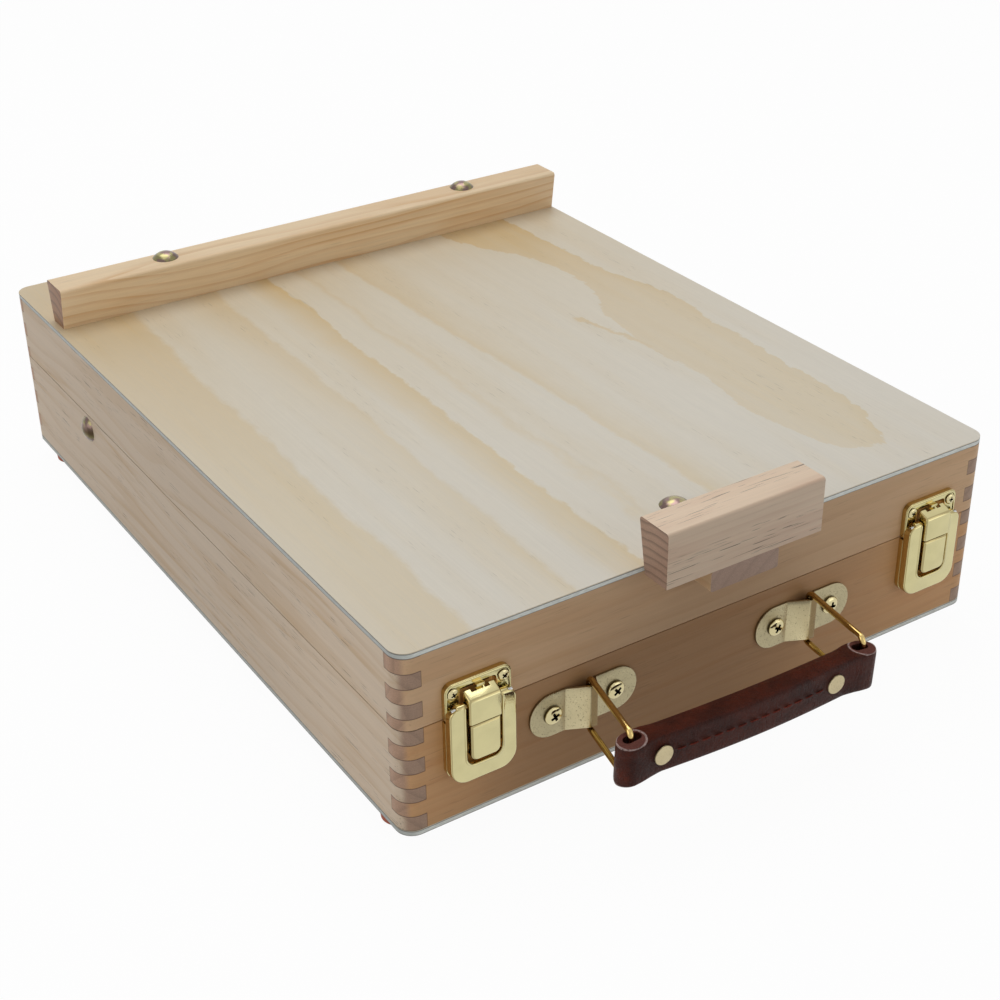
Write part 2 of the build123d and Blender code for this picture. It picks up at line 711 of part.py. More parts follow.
def latch_base(x):
    """The tray's plate with the raised boss and the two ears that hold the pin."""
    top = seam - 0.6
    sketch = rounded_plate(latch_half, latch_bottom, top, 5.0, "bottom")
    plate = front_plate(sketch, x, (latch_bottom + top) / 2, (front - latch_plate, front))
    boss_sketch = rounded_plate(boss_half, boss_bottom, boss_top, 3.0, "bottom")
    boss = front_plate(boss_sketch, x, (boss_bottom + boss_top) / 2, (front - 8.0, front - latch_plate))
    boss = chamfer(boss.faces().sort_by(Axis.Y)[0].edges(), 0.7)
    for sign in (-1, 1):
        corner = sorted((x + sign * (ear_outer + 0.8), x + sign * notch_middle_half))
        plate -= brick(corner, (front - 5, front + 1), (top - 1.4, top + 1))
    pivot_y = front + latch_pivot_y
    rise = Vector(0, latch_pivot_y + ear_root, latch_pivot_z - top).normalized()
    side = Vector(0, -rise.Z, rise.Y) * ear_eye
    ear_outline = [
        (front - latch_plate, top - 1.5),
        (front - 0.9, top - 1.5),
        (front - 0.9, top),
        (pivot_y - side.Y, latch_pivot_z - side.Z),
        (pivot_y + side.Y, latch_pivot_z + side.Z),
    ]
    base = plate + boss
    for inner, outer in ((-ear_outer, -ear_inner), (ear_inner, ear_outer)):
        x_pair = (x + inner, x + outer)
        base += side_plate(ear_outline, x_pair)
        base += rod(ear_eye, (x_pair[0], pivot_y, latch_pivot_z), (x_pair[1], pivot_y, latch_pivot_z))
    pin_hole = rod(latch_pin_radius, (x - 20, pivot_y, latch_pivot_z), (x + 20, pivot_y, latch_pivot_z))
    return base - pin_hole


def latch_keeper(x):
    """The lid's plate, recessed around the lever's arms and behind the tongue, with a catch lip."""
    low = seam + 0.5
    sketch = rounded_plate(latch_half, low, latch_top, 4.0, "top")
    plate = front_plate(sketch, x, (low + latch_top) / 2, (front - latch_plate, front))
    recess_y = (front - latch_plate - 1, front - notch_floor)
    wide = rounded_plate(notch_half, low - 2, notch_top, 2.5, "top")
    plate -= front_plate(wide, x, (low - 2 + notch_top) / 2, recess_y)
    deep = rounded_plate(notch_middle_half, low - 2, notch_middle_top, 1.5, "top")
    plate -= front_plate(deep, x, (low - 2 + notch_middle_top) / 2, recess_y)
    lip_levels = (tongue_top + 0.6, tongue_top + 1.8)
    return plate + brick((x - tab_half, x + tab_half), (front - 4.4, front - 0.5), lip_levels)


def latch_lever(x):
    """A U-shaped lever whose two arms end in rounded shoulders that turn on the pin."""
    sketch = rounded_plate(latch_half, lever_bottom, latch_pivot_z, 8.0, "bottom")
    middle = (lever_bottom + latch_pivot_z) / 2
    y = (front - lever_back - lever_thick, front - lever_back)
    lever = front_plate(sketch, x, middle, y)
    pivot_y = front + latch_pivot_y
    barrel_ends = [(x + side * latch_half, pivot_y, latch_pivot_z) for side in (-1, 1)]
    lever += rod(lever_barrel, *barrel_ends)
    top = latch_pivot_z + lever_barrel
    cut_y = (front - 20, front)
    outline = rounded_plate(latch_half, lever_bottom, top, lever_shoulder, "top")
    lever &= front_plate(outline, x, (lever_bottom + top) / 2, cut_y)
    opening = rounded_plate(lever_opening_half, lever_opening_bottom, top + 6, 4.5, "bottom")
    lever -= front_plate(opening, x, (lever_opening_bottom + top + 6) / 2, cut_y)
    hole = latch_pin_radius + running_clearance
    pin_end = latch_half - 1
    return lever - rod(hole, (x - pin_end, pivot_y, latch_pivot_z), (x + pin_end, pivot_y, latch_pivot_z))


def latch_tongue(x):
    """A hollow hook on the same pin, with a round nose; its top flange has a tab between two notches."""
    y_front = front - tongue_front
    y_back = front - tongue_back
    shell = brick((x - tongue_half, x + tongue_half), (y_front, y_back), (tongue_bottom, tongue_top))
    nose = shell.faces().sort_by(Axis.Y)[0].edges().sort_by(Axis.Z)[-1]
    shell = fillet(nose, tongue_rounding)
    hollow_x = (x - tongue_half + tongue_wall, x + tongue_half - tongue_wall)
    hollow = brick(hollow_x, (y_front + tongue_wall, y_back + 1), (tongue_bottom - 1, tongue_top - 1.0))
    hollow_nose = hollow.faces().sort_by(Axis.Y)[0].edges().sort_by(Axis.Z)[-1]
    shell -= fillet(hollow_nose, tongue_rounding - tongue_wall)
    low = tongue_bottom - 1
    relief = [(y_back + 1, low), (y_front + 1.6, low), (y_back + 1, latch_pivot_z)]
    shell -= side_plate(relief, (x - 10, x + 10))
    for sign in (-1, 1):
        side = sorted((x + sign * tab_half, x + sign * (tongue_half - 1.8)))
        shell -= brick(side, (y_back - 1.6, y_back + 1), (tongue_top - 2, tongue_top + 1))
    pivot_y = front + latch_pivot_y
    hole = latch_pin_radius + running_clearance
    return shell - rod(hole, (x - 20, pivot_y, latch_pivot_z), (x + 20, pivot_y, latch_pivot_z))


small_hole = pilot(small_screw["shank_radius"], small_screw["length"])
for side, x in latch_places.items():
    write(f"latch_base_{side}", drilled(latch_base(x), plate_screw_seats, small_hole))
    write(f"latch_keeper_{side}", drilled(latch_keeper(x), keeper_screw_seats, small_hole))
    write(f"latch_lever_{side}", latch_lever(x))
    write(f"latch_tongue_{side}", latch_tongue(x))
latch_pins = [
    rod(
        latch_pin_radius,
        (x - latch_half + 1.3, front + latch_pivot_y, latch_pivot_z),
        (x + latch_half - 1.3, front + latch_pivot_y, latch_pivot_z),
    )
    for x in latch_places.values()
]
write("latch_pins", *latch_pins)
write("latch_base_screws", *[seat * pan_screw(**small_screw) for seat in plate_screw_seats])
write("latch_keeper_screws", *[seat * pan_screw(**small_screw) for seat in keeper_screw_seats])

# ==== handle ========================================================================================
hump_radius = 5.4
hump_crest = 5.8


def saddle(x, middle):
    """A plate with round ends and an arched channel for the bail's wire."""
    plate_sketch = SlotOverall(saddle_length, saddle_height)
    plate = front_plate(plate_sketch, x, middle, (front - saddle_thick, front))
    low, high = middle - saddle_height / 2, middle + saddle_height / 2
    arch_y = front - hump_crest + hump_radius
    arch = rod(hump_radius, (x, arch_y, low), (x, arch_y, high))
    flare = side_flare(x, low, high)
    channel = rod(hump_radius - saddle_thick, (x, arch_y, low - 1), (x, arch_y, high + 1))
    mouth_half = hump_radius - saddle_thick
    channel += brick((x - mouth_half, x + mouth_half), (arch_y, front + 1), (low - 1, high + 1))
    whole = (plate + arch + flare - channel) & brick((x - 40, x + 40), (front - 10, front), (low, high))
    return drilled(whole, saddle_screw_seats, pilot(saddle_screw["shank_radius"], saddle_screw["length"]))


def side_flare(x, low, high):
    """The sloping foot on each side of the arch."""
    flare = None
    for sign in (-1, 1):
        points = [
            (x + sign * 7.4, front - saddle_thick),
            (x + sign * 4.2, front - 4.0),
            (x + sign * 4.2, front - saddle_thick),
        ]
        wedge = extrude(Pos(0, 0, low) * make_face(Polyline(*points, close=True)), high - low)
        flare = wedge if flare is None else flare + wedge
    return flare


write("handle_saddle_left", saddle(saddle_places[0], saddle_middles[0]))
write("handle_saddle_right", saddle(saddle_places[1], saddle_middles[1]))
write("handle_saddle_screws", *[seat * pan_screw(**saddle_screw) for seat in saddle_screw_seats])

bail_places = [x + bail_shift for x in saddle_places]


def outward(side):
    """The way a bail points at rest, seen from above; side is 0 for the left and 1 for the right."""
    swing = math.radians(rest_swings[side])
    return Vector(-math.sin(swing), -math.cos(swing), 0)


def bail(side):
    """A closed wire ring: one upright in the saddle, the other in the grip's loop."""
    away = outward(side)
    centre = Vector(bail_places[side], front - bail_axis, bail_middles[side]) + away * (bail_length / 2)
    plane = Plane(origin=centre, x_dir=away, z_dir=away.cross(Vector(0, 0, 1)))
    path = (plane * RectangleRounded(bail_length, bail_height, bail_bend)).wire()
    start = path @ 0
    section = Plane(origin=start, z_dir=path % 0) * Circle(bail_wire)
    return sweep(section, path=path)


grip_ends = [Vector(bail_places[side], front - bail_axis, 0) + outward(side) * bail_length for side in (0, 1)]
write("bail_left", bail(0))
write("bail_right", bail(1))


grip_centre = (grip_ends[0].X + grip_ends[1].X) / 2 + grip_shift
grip_pose = Pos(grip_centre, front - grip_reach, grip_middle) * Rot(Y=grip_tilt) * Rot(X=grip_lean)
loop_hole = 8.2, 4.6        # length along the strap and width
hole_places = (-58.5, 59.0)
head_seats = {-1: neck_front + 0.3, 1: neck_back + 0.3}     # the rivets' heads, by the side they are on
rivet_places = (rivet_shift + rivet_inset - grip_half, rivet_shift + grip_half - rivet_inset)


def grip_side(sign, neck, swell):
    """One long side of the leather, seen from above, from its left loop to its right loop."""
    neck_x = grip_half - rivet_inset
    quarter = neck + (swell - neck) * quarter_share
    outline = [
        (-grip_half, loop_radius),
        (-neck_x, neck),
        (-neck_x / 2, quarter),
        (0, swell),
        (neck_x / 2, quarter),
        (neck_x, neck),
        (grip_half, loop_radius),
    ]
    return Spline(*[(x, sign * y) for x, y in outline], tangents=[(1, 0), (1, 0)])


def grip():
    """The leather grip: a loop at each end, a neck at each rivet and a swelling, padded middle."""
    edges = Curve() + [
        grip_side(-1, neck_front, swell_front),
        grip_side(1, neck_back, swell_back),
    ]
    for sign in (-1, 1):
        tip = (sign * (grip_half + loop_radius), 0)
        edges += ThreePointArc((sign * grip_half, -loop_radius), tip, (sign * grip_half, loop_radius))
    body = Pos(0, 0, -grip_height / 2) * extrude(make_face(edges), grip_height)
    for x in rivet_places:
        body -= rod(rivet_shank + running_clearance, (x, -20, 0), (x, 20, 0))
        for sign, seat in head_seats.items():
            body -= rod(rivet_radius + 0.1, (x, sign * seat, 0), (x, sign * (seat + 5), 0))
    body = grip_pose * body
    for x in hole_places:
        hole = extrude(SlotOverall(*loop_hole), 2 * grip_height)
        body -= Pos(grip_centre + x, front - wire_reach, grip_middle - grip_height) * hole
    return body


def rivet(x):
    """A tubular rivet through the grip, with a flat head on each face."""
    body = rod(rivet_shank, (x, -head_seats[-1], 0), (x, head_seats[1], 0))
    for sign, seat in head_seats.items():
        body += rod(rivet_radius, (x, sign * seat, 0), (x, sign * (seat + rivet_head), 0))
    return grip_pose * body


write("handle_grip", grip())
write("handle_rivets", *[rivet(x) for x in rivet_places])

# ==== placing report ================================================================================
print("front", round(front, 4), "back", round(back, 4), "seam", seam, "panel_top", panel_top)
print("hinge axis y", round(back + hinge_offset, 4))
print("prop pivot y", round(front + prop_setback, 4), "z", prop_z)
print("latch pivot y", round(front + latch_pivot_y, 4), "z", latch_pivot_z)
print("bail axes", [round(x, 4) for x in bail_places], round(front - bail_axis, 4))
print("grip ends", [(round(p.X, 4), round(p.Y, 4)) for p in grip_ends])
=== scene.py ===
# %% [markdown]
# # A pochade box: a wooden painting case with a leather handle
# The solid model comes first.  It is loaded as a fixed frame, and every piece made here sits on it.
# Everything is in metres, with the front of the case towards -Y and the floor at Z = 0.

# %% Load the frame
import math

import bpy
from mathutils import Matrix, Vector


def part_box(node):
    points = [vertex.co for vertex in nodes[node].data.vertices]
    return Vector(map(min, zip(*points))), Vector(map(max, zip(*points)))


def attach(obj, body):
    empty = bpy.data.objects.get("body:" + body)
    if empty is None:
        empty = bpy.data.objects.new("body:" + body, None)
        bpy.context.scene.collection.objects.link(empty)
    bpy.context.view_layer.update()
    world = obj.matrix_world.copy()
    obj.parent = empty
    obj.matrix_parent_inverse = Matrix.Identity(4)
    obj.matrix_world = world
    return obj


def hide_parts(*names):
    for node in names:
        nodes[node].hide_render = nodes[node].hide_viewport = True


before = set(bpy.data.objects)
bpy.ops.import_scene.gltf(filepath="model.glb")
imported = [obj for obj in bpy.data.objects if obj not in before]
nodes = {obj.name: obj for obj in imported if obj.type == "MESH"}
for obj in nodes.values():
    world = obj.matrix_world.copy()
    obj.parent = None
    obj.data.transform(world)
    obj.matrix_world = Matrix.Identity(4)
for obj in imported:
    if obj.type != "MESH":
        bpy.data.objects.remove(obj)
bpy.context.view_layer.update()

# %% [markdown]
# ## The places that the later steps need
# A few faces of the frame give every other place: the front and left faces of the case, the top of the
# lid's panel, and the floor of the tray.  The corner joints have fingers of one height, which the painted
# glue lines need.  One millimetre is written as `mm`.

# %% Places taken from the frame
mm = 0.001
front_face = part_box("tray_front_board")[0].y
left_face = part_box("tray_left_board")[0].x
case_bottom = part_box("tray_bottom_panel")[0].z
panel_low, panel_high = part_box("lid_top_panel")
case_width = panel_high.x - panel_low.x
case_depth = panel_high.y - panel_low.y
finger = 7.0
joint_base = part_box("tray_front_board")[0].z / mm
joint_depth = (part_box("tray_front_board")[1].y - front_face) / mm
saw_kerf = 1.6
seam = (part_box("tray_front_board")[1].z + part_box("lid_front_board")[0].z) / 2
print("front face", round(front_face, 5), "case", round(case_width, 4), "by", round(case_depth, 4))


# %% [markdown]
# ## Small helpers for modelling
# Blender's operators act on whatever is selected, and loading the frame leaves all of it selected.  So
# each piece starts from nothing selected, and faces, edges or points are then picked in code by where
# they are.

# %% Helpers that select
def object_mode():
    bpy.ops.object.mode_set(mode="OBJECT")


def edit_all():
    """Edit mode, with the whole mesh selected."""
    bpy.ops.object.mode_set(mode="EDIT")
    bpy.ops.mesh.select_all(action="SELECT")


def deselect():
    """Leaves edit mode, with nothing selected."""
    if bpy.context.mode != "OBJECT":
        object_mode()
    bpy.ops.object.select_all(action="DESELECT")


def active():
    return bpy.context.active_object


def only(made):
    """Selects one object alone."""
    deselect()
    made.select_set(True)
    bpy.context.view_layer.objects.active = made
    return made


def pick(kind, rule):
    """Selects the points, edges or faces of the active object whose middle passes the rule."""
    bpy.ops.object.mode_set(mode="EDIT")
    bpy.ops.mesh.select_mode(type=kind)
    bpy.ops.mesh.select_all(action="DESELECT")
    object_mode()
    mesh = active().data
    if kind == "FACE":
        for face in mesh.polygons:
            face.select = bool(rule(face.center, face.normal))
    elif kind == "EDGE":
        for edge in mesh.edges:
            a, b = (mesh.vertices[i].co for i in edge.vertices)
            edge.select = bool(rule((a + b) / 2, (b - a).normalized()))
    else:
        for vertex in mesh.vertices:
            vertex.select = bool(rule(vertex.co))
    bpy.ops.object.mode_set(mode="EDIT")


# %% [markdown]
# ## Helpers that shape and finish
# `modify` adds a modifier and applies it at once, so that the shape is really in the mesh.  `finish` gives
# a piece its name and its material, says which moving body carries it, and hides the solids that it
# stands for.

# %% Helpers that shape and finish
def modify(kind, **settings):
    """Adds a modifier to the active object and applies it."""
    object_mode()
    bpy.ops.object.modifier_add(type=kind)
    modifier = active().modifiers[-1]
    for key, value in settings.items():
        setattr(modifier, key, value)
    bpy.ops.object.modifier_apply(modifier=modifier.name)


def nudge(rule):
    """Moves every point of the active object to where the rule says: shaping by hand, in code."""
    object_mode()
    for vertex in active().data.vertices:
        vertex.co = rule(vertex.co.copy())


def place_applied():
    object_mode()
    bpy.ops.object.transform_apply(location=True, rotation=True, scale=True)


def smooth(angle=30):
    object_mode()
    bpy.ops.object.shade_smooth_by_angle(angle=math.radians(angle))


def finish(name, body, slot, paint, *stands_for):
    """Names the active object, paints it, and ties it to the body that carries it."""
    place_applied()
    made = active()
    made.name = made.data.name = name
    made.data.materials.clear()
    made.data.materials.append(paint)
    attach(made, body)
    if stands_for:
        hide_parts(*stands_for)
    print(name, len(made.data.polygons), "faces")
    return made


# %% [markdown]
# ## Shader maths that reads like sums
# A material is a net of small nodes.  Written out node by node it is long and hard to read, so a socket
# is wrapped in a class whose plus, minus and times each add one Math node.

# %% A socket that can be added and multiplied
def sum_of(operation, swapped=False):
    """A method that adds one Math node."""
    def method(self, *others):
        values = (*others, self) if swapped else (self, *others)
        return self.paint.node("ShaderNodeMath", {"operation": operation}, *values)
    return method


class Value:
    """One socket of a material."""

    def __init__(self, paint, socket):
        self.paint = paint
        self.socket = socket

    __add__ = __radd__ = sum_of("ADD")
    __sub__ = sum_of("SUBTRACT")
    __rsub__ = sum_of("SUBTRACT", swapped=True)
    __mul__ = __rmul__ = sum_of("MULTIPLY")
    __truediv__ = sum_of("DIVIDE")
    __pow__ = sum_of("POWER")
    size = sum_of("ABSOLUTE")
    part = sum_of("FRACT")
    least = sum_of("MINIMUM")
    most = sum_of("MAXIMUM")

    def rise(self, low, high):
        """0 below low, 1 above high, and a smooth step between them."""
        settings = {"interpolation_type": "SMOOTHSTEP"}
        return self.paint.node("ShaderNodeMapRange", settings, self, low, high, 0.0, 1.0)


# %% [markdown]
# ## One class builds a material
# `node` adds any node: its settings go first, because some of them decide which sockets it has.  Colours
# are written as three numbers from 0 to 255, as a paint program gives them, and `linear` converts them.

# %% Colours and the material builder
def linear(channel):
    channel /= 255
    return channel / 12.92 if channel <= 0.04045 else ((channel + 0.055) / 1.055) ** 2.4


class Paint:
    """A material under construction."""

    def __init__(self, name, roughness=0.5, metallic=0.0):
        self.material = bpy.data.materials.new(name)
        self.material.use_nodes = True
        self.tree = self.material.node_tree
        self.shader = self.tree.nodes["Principled BSDF"]
        self.shader.inputs["Roughness"].default_value = roughness
        self.shader.inputs["Metallic"].default_value = metallic

    def plug(self, socket, value):
        """Links a socket, or sets it to a number or to a colour of three numbers from 0 to 255."""
        if isinstance(value, Value):
            self.tree.links.new(value.socket, socket)
        elif isinstance(value, tuple):
            red_green_blue = [linear(channel) for channel in value]
            socket.default_value = red_green_blue + [1.0] if socket.type == "RGBA" else red_green_blue
        elif value is not None:
            socket.default_value = value

    def node(self, kind, settings, *values, output=0, **named):
        made = self.tree.nodes.new(kind)
        for key, value in settings.items():
            setattr(made, key, value)
        for socket, value in zip(made.inputs, values):
            self.plug(socket, value)
        for key, value in named.items():
            self.plug(made.inputs[key.replace("_", " ")], value)
        return Value(self, made.outputs[output])

    def split(self, output):
        """The three numbers of one output of the Texture Coordinate node."""
        source = self.tree.nodes.new("ShaderNodeTexCoord").outputs[output]
        parts = self.tree.nodes.new("ShaderNodeSeparateXYZ")
        self.tree.links.new(source, parts.inputs[0])
        return [Value(self, socket) for socket in parts.outputs]

    def place(self):
        """The object's own coordinates, in millimetres."""
        return [number * 1000 for number in self.split("Object")]

    def facing(self):
        """How far the surface faces along X, Y and Z, from 0 to 1, whichever way round."""
        return [number.size() for number in self.split("Normal")]

    def mark(self, name):
        """A number that the mesh itself carries."""
        return self.node("ShaderNodeAttribute", {"attribute_name": name}, output=2)

    def point(self, x, y, z):
        return self.node("ShaderNodeCombineXYZ", {}, x, y, z)

    def noise(self, x, y, z, scale=1.0, detail=2.0, roughness=0.5, distortion=0.0):
        settings = dict(Scale=scale, Detail=detail, Roughness=roughness, Distortion=distortion)
        return self.node("ShaderNodeTexNoise", {}, Vector=self.point(x, y, z), **settings)

    def mix(self, amount, first, second):
        """The first colour at 0, the second at 1.  The node's colours are its seventh and eighth inputs."""
        settings = {"data_type": "RGBA", "clamp_result": True}
        return self.node("ShaderNodeMix", settings, amount, *[None] * 5, first, second, output=2)

    def shade(self, tone, brightness):
        """The colour multiplied by a number."""
        return self.node("ShaderNodeVectorMath", {"operation": "SCALE"}, tone, None, None, brightness)

    def curve(self, value, points, straight=False):
        """A number read from a curve drawn through a few points, all between 0 and 1."""
        made = self.tree.nodes.new("ShaderNodeFloatCurve")
        line = made.mapping.curves[0]
        made.mapping.use_clip = False
        while len(line.points) < len(points):
            line.points.new(0.5, 0.5)
        for point, (x, y) in zip(line.points, sorted(points)):
            point.location = (x, y)
            point.handle_type = "VECTOR" if straight else "AUTO"
        made.mapping.update()
        self.plug(made.inputs["Value"], value)
        return Value(self, made.outputs[0])

    def surface(self, tone, roughness=None, height=None, depth=0.05 * mm, metallic=None):
        """Plugs the finished colour, roughness and relief into the shader."""
        self.plug(self.shader.inputs["Base Color"], tone)
        self.plug(self.shader.inputs["Roughness"], roughness)
        self.plug(self.shader.inputs["Metallic"], metallic)
        if height is not None:
            bump = self.node("ShaderNodeBump", {}, Distance=depth, Height=height)
            self.plug(self.shader.inputs["Normal"], bump)
        print("material", self.material.name, "with", len(self.tree.nodes), "nodes")
        return self.material


# %% [markdown]
# ## Glue lines
# A thin dark line of glue runs round each finger of the corner joints.  The fingers have one height, so a
# few sums give the distance to the nearest line: the level says which finger a point is in, and every
# second finger belongs to the other board.

# %% The glue round the fingers
glue_thin, glue_wide = 0.1, 0.34


def glue_lines(along, joints, run, z):
    """1 on a line of glue and 0 beside it, in mm: along is the board's axis, joints "tray" or "lid"."""
    level = (z - joint_base + (saw_kerf if joints == "lid" else 0)) / finger
    turn = (level / 2).part().rise(0.49, 0.51)
    if along == "X":
        from_end = case_width / 2 / mm - run.size()
        reached = 1 - turn
    else:
        from_end = case_depth / 2 / mm - (run - (front_face + case_depth / 2) / mm).size()
        reached = turn
    flat = ((level + 0.5).part() - 0.5).size() * finger
    upright = (from_end - joint_depth).size()
    glue = (1 - flat.rise(glue_thin, glue_wide)) * (1 - from_end.rise(joint_depth, joint_depth + 0.3))
    return glue.most((1 - upright.rise(glue_thin, glue_wide)) * reached)


# %% [markdown]
# ## Pine
# The boards are solid pine, so the figure runs through the wood: growth rings round a pith that lies
# outside the board.  Where a board is cut along the grain they show as long streaks, and at its ends as
# arcs, darker and speckled because the open pores drink the finish.  One recipe does both, by asking
# which way the surface faces.  Short dark flecks along the grain are resin canals.

# %% The recipe for pine
def pine(
    name, along, early, late, end, pith, ring=5.0, streak=0.5, fleck=0.5, end_ring=0.8, wander=9.0, tan=0.3,
    seed=0.0, painted_light_curve=None, joints=None, front=1.0, gloss=0.5,
):
    """along is the axis of the grain; pith is where the rings' centre lies across it, in mm.

    The curve of brightness along the board is painted light and shade; joints is "tray" or "lid" for the
    finger joints; front is the brightness of the faces that look along Y, painted light above 1, painted
    shade below.
    """
    paint = Paint(name, roughness=0.5)
    paint.shader.inputs["Specular IOR Level"].default_value = gloss
    x, y, z = paint.place()
    facing_x, facing_y, _ = paint.facing()
    if along == "X":
        run, side, rise, end_on = x, y, z, facing_x
    else:
        run, side, rise, end_on = y, x, z, facing_y
    drift = paint.noise(run / 170 + seed, side / 60, rise / 45, detail=1.0) - 0.5
    ripple = paint.noise(run / 40 + seed, side / 8, rise / 8, detail=3.0) - 0.5
    across = side - pith[0]
    upward = rise - pith[1]
    radius = (across * across + upward * upward) ** 0.5
    rings = ((radius + drift * wander + ripple * 1.3) / ring).part()
    latewood = rings.rise(0.5, 0.92) * (1 - rings.rise(0.94, 1.0))
    fibre = paint.noise(run / 18 + seed, side / 0.42, rise / 0.42, detail=3.0, roughness=0.65)
    lines = paint.noise(run / 110 + seed, side / 1.5, rise / 1.5, detail=2.0)
    cloud = paint.noise(run / 120, side / 25 + seed, rise / 10, detail=3.0)
    dash = paint.noise(run / 15, side / 0.45, rise / 0.45 + seed, detail=1.0)
    patch = paint.noise(run / 60, side / 12, rise / 10 + seed, detail=1.0)
    flecks = dash.rise(0.63, 0.7) * patch.rise(0.42, 0.6) * fleck
    cut_end = end_on.rise(0.45, 0.8)
    amount = latewood * streak * (0.3 + cloud * 1.3) + cloud.rise(0.5, 0.62) * tan
    along_grain = paint.mix(amount.least(1.0), early, late)
    fine = 0.86 + fibre * 0.13 + cloud * 0.05 + lines * 0.16 - flecks * 0.5
    along_grain = paint.shade(along_grain, fine)
    pores = paint.noise(x / 0.45, y / 0.45, z / 0.45, detail=3.0, roughness=0.75)
    saw = paint.noise(x / 3.0, y / 3.0, z / 0.5, detail=2.0)
    across_grain = paint.mix(latewood * end_ring, end, paint.shade(end, 0.5))
    across_grain = paint.shade(across_grain, 0.5 + pores * 0.75 + saw * 0.18)
    tone = paint.mix(cut_end, along_grain, across_grain)
    # Painted light and shade: faces that look along Y are made brighter or darker by front.
    tone = paint.shade(tone, 1 + facing_y * (front - 1))
    # Painted light and shade along the board, read from a curve.
    if painted_light_curve:
        start, length = (left_face, case_width) if along == "X" else (front_face, case_depth)
        tone = paint.shade(tone, paint.curve((run - start / mm) / (length / mm), painted_light_curve))
    if joints:
        glue = glue_lines(along, joints, run, z)
        tone = paint.mix(glue * (0.35 + pores * 0.7), tone, (70, 46, 32))
    relief = fibre * (1 - cut_end) + pores * cut_end
    return paint.surface(tone, roughness=0.42 + fibre * 0.2, height=relief, depth=0.06 * mm)


# %% [markdown]
# ## The woods of this case
# The fronts and backs are painted darker towards their middles, as painted shade, most on the tray's front,
# behind the handle, which is also the warmest board; the sides are painted darker in their middles, also
# as painted shade.  The ledge and the clamp's block are paler pieces of the same wood; the ledge's front
# face is painted lighter, as painted light, and the block's front face darker, as painted shade.

# %% The boards and the bars
side_look = dict(
    along="Y", early=(198, 178, 154), late=(184, 156, 122), end=(164, 134, 112), pith=(40, 190),
    ring=6.5, end_ring=0.3, streak=0.45, fleck=1.2, wander=22.0, tan=0.5,
    # Painted shade: the sides are darker in their middles.
    painted_light_curve=[(0, 1.02), (0.12, 1.02), (0.35, 0.88), (0.65, 0.87), (1, 0.93)],
)
side_pine = {
    "tray": pine("pine_tray_sides", seed=3.1, joints="tray", **side_look),
    "lid": pine("pine_lid_sides", seed=8.4, joints="lid", **side_look),
}
front_look = dict(
    along="X", end=(176, 142, 118), pith=(-90, 120), ring=5.5, end_ring=0.3, streak=0.18, fleck=0.35,
    wander=18.0, tan=0.16, gloss=0.25,
)
# Painted shade: the fronts and backs are darker towards their middles, the tray's most, behind the handle.
front_pine = {
    "tray": pine(
        "pine_tray_ends", early=(196, 152, 108), late=(180, 126, 78), seed=7.7, joints="tray",
        painted_light_curve=[(0, 1.06), (0.06, 1.0), (0.2, 0.72), (0.5, 0.68), (0.72, 0.8), (0.9, 1.06), (1, 1.1)],
        **front_look,
    ),
    "lid": pine(
        "pine_lid_ends", early=(202, 168, 132), late=(180, 138, 98), seed=2.9, joints="lid",
        painted_light_curve=[(0, 1.06), (0.1, 1.06), (0.3, 0.95), (0.5, 0.85), (0.72, 0.95), (0.9, 1.05), (1, 1.1)],
        **front_look,
    ),
}
# The ledge's front faces are painted lighter: a painted light.
ledge_pine = pine(
    "pine_ledge", "X", (226, 201, 165), (206, 166, 118), (150, 112, 84),
    pith=(180, 60), ring=5.5, streak=0.5, fleck=0.2, wander=30.0, tan=0.3, seed=1.4, front=1.16,
)
# The block's front faces are painted darker: a painted shade.
block_pine = pine(
    "pine_clamp_block", "X", (226, 202, 176), (200, 158, 132), (172, 140, 120),
    pith=(-196, 30), ring=3.6, streak=0.16, fleck=1.5, wander=3.0, tan=0.25, seed=5.2, front=0.84,
)
bar_pine = pine(
    "pine_clamp_bar", "Y", (212, 182, 144), (186, 146, 108), (166, 138, 120),
    pith=(60, 30), ring=6.5, streak=0.4, fleck=0.4, end_ring=0.2, wander=3.0, seed=2.6,
)
rail_pine = pine(
    "pine_rails", "Y", (214, 186, 148), (190, 150, 110), (170, 140, 116),
    pith=(0, 120), ring=5.0, streak=0.5, fleck=0.4, seed=9.3,
)


# %% [markdown]
# ## The edge of plywood
# Where a panel is cut, its edge shows the plies: a pale core with a thin glue line near its top, under a
# thin veneer.  The thin dark line at its foot is painted shadow from the gap below it, and edges that look
# along X are painted darker, as painted shade.

# %% The edge of a plywood panel
def plywood_edge(paint, face, low, thickness):
    """The colour of the plies on an edge that stands between low and low + thickness."""
    x, y, z = paint.place()
    facing_x, _, facing_z = paint.facing()
    level = (z - low) / thickness
    grey = paint.noise(x / 3, y / 3, z / 0.4, detail=2.0)
    core = paint.mix(grey.rise(0.3, 0.7), (238, 243, 238), (216, 220, 214))
    # A glue line near the top of the edge, and a painted shadow at its foot.
    glue = level.rise(0.7, 0.76) * (1 - level.rise(0.84, 0.9)) + (1 - level.rise(0.05, 0.17))
    edge = paint.mix(glue * 0.8, core, (96, 84, 72))
    edge = paint.mix(level.rise(0.86, 0.94), edge, (206, 190, 158))
    # Painted shade: edges that look along X are darker.
    edge = paint.shade(edge, 1 - facing_x * 0.5)
    return paint.mix(facing_z.rise(0.35, 0.75), edge, face)


# %% [markdown]
# ## A band that closes
# Plywood is peeled from a log like paper from a roll, so its face shows broad bands, pale and tan, that
# run from front to back and spread apart.  On the lid, one tan band on the right closes in a round tongue
# near the front.  Two curves give its left and its right edge at each depth.

# %% One closed band of the figure
curve_width, curve_depth = 305, 408


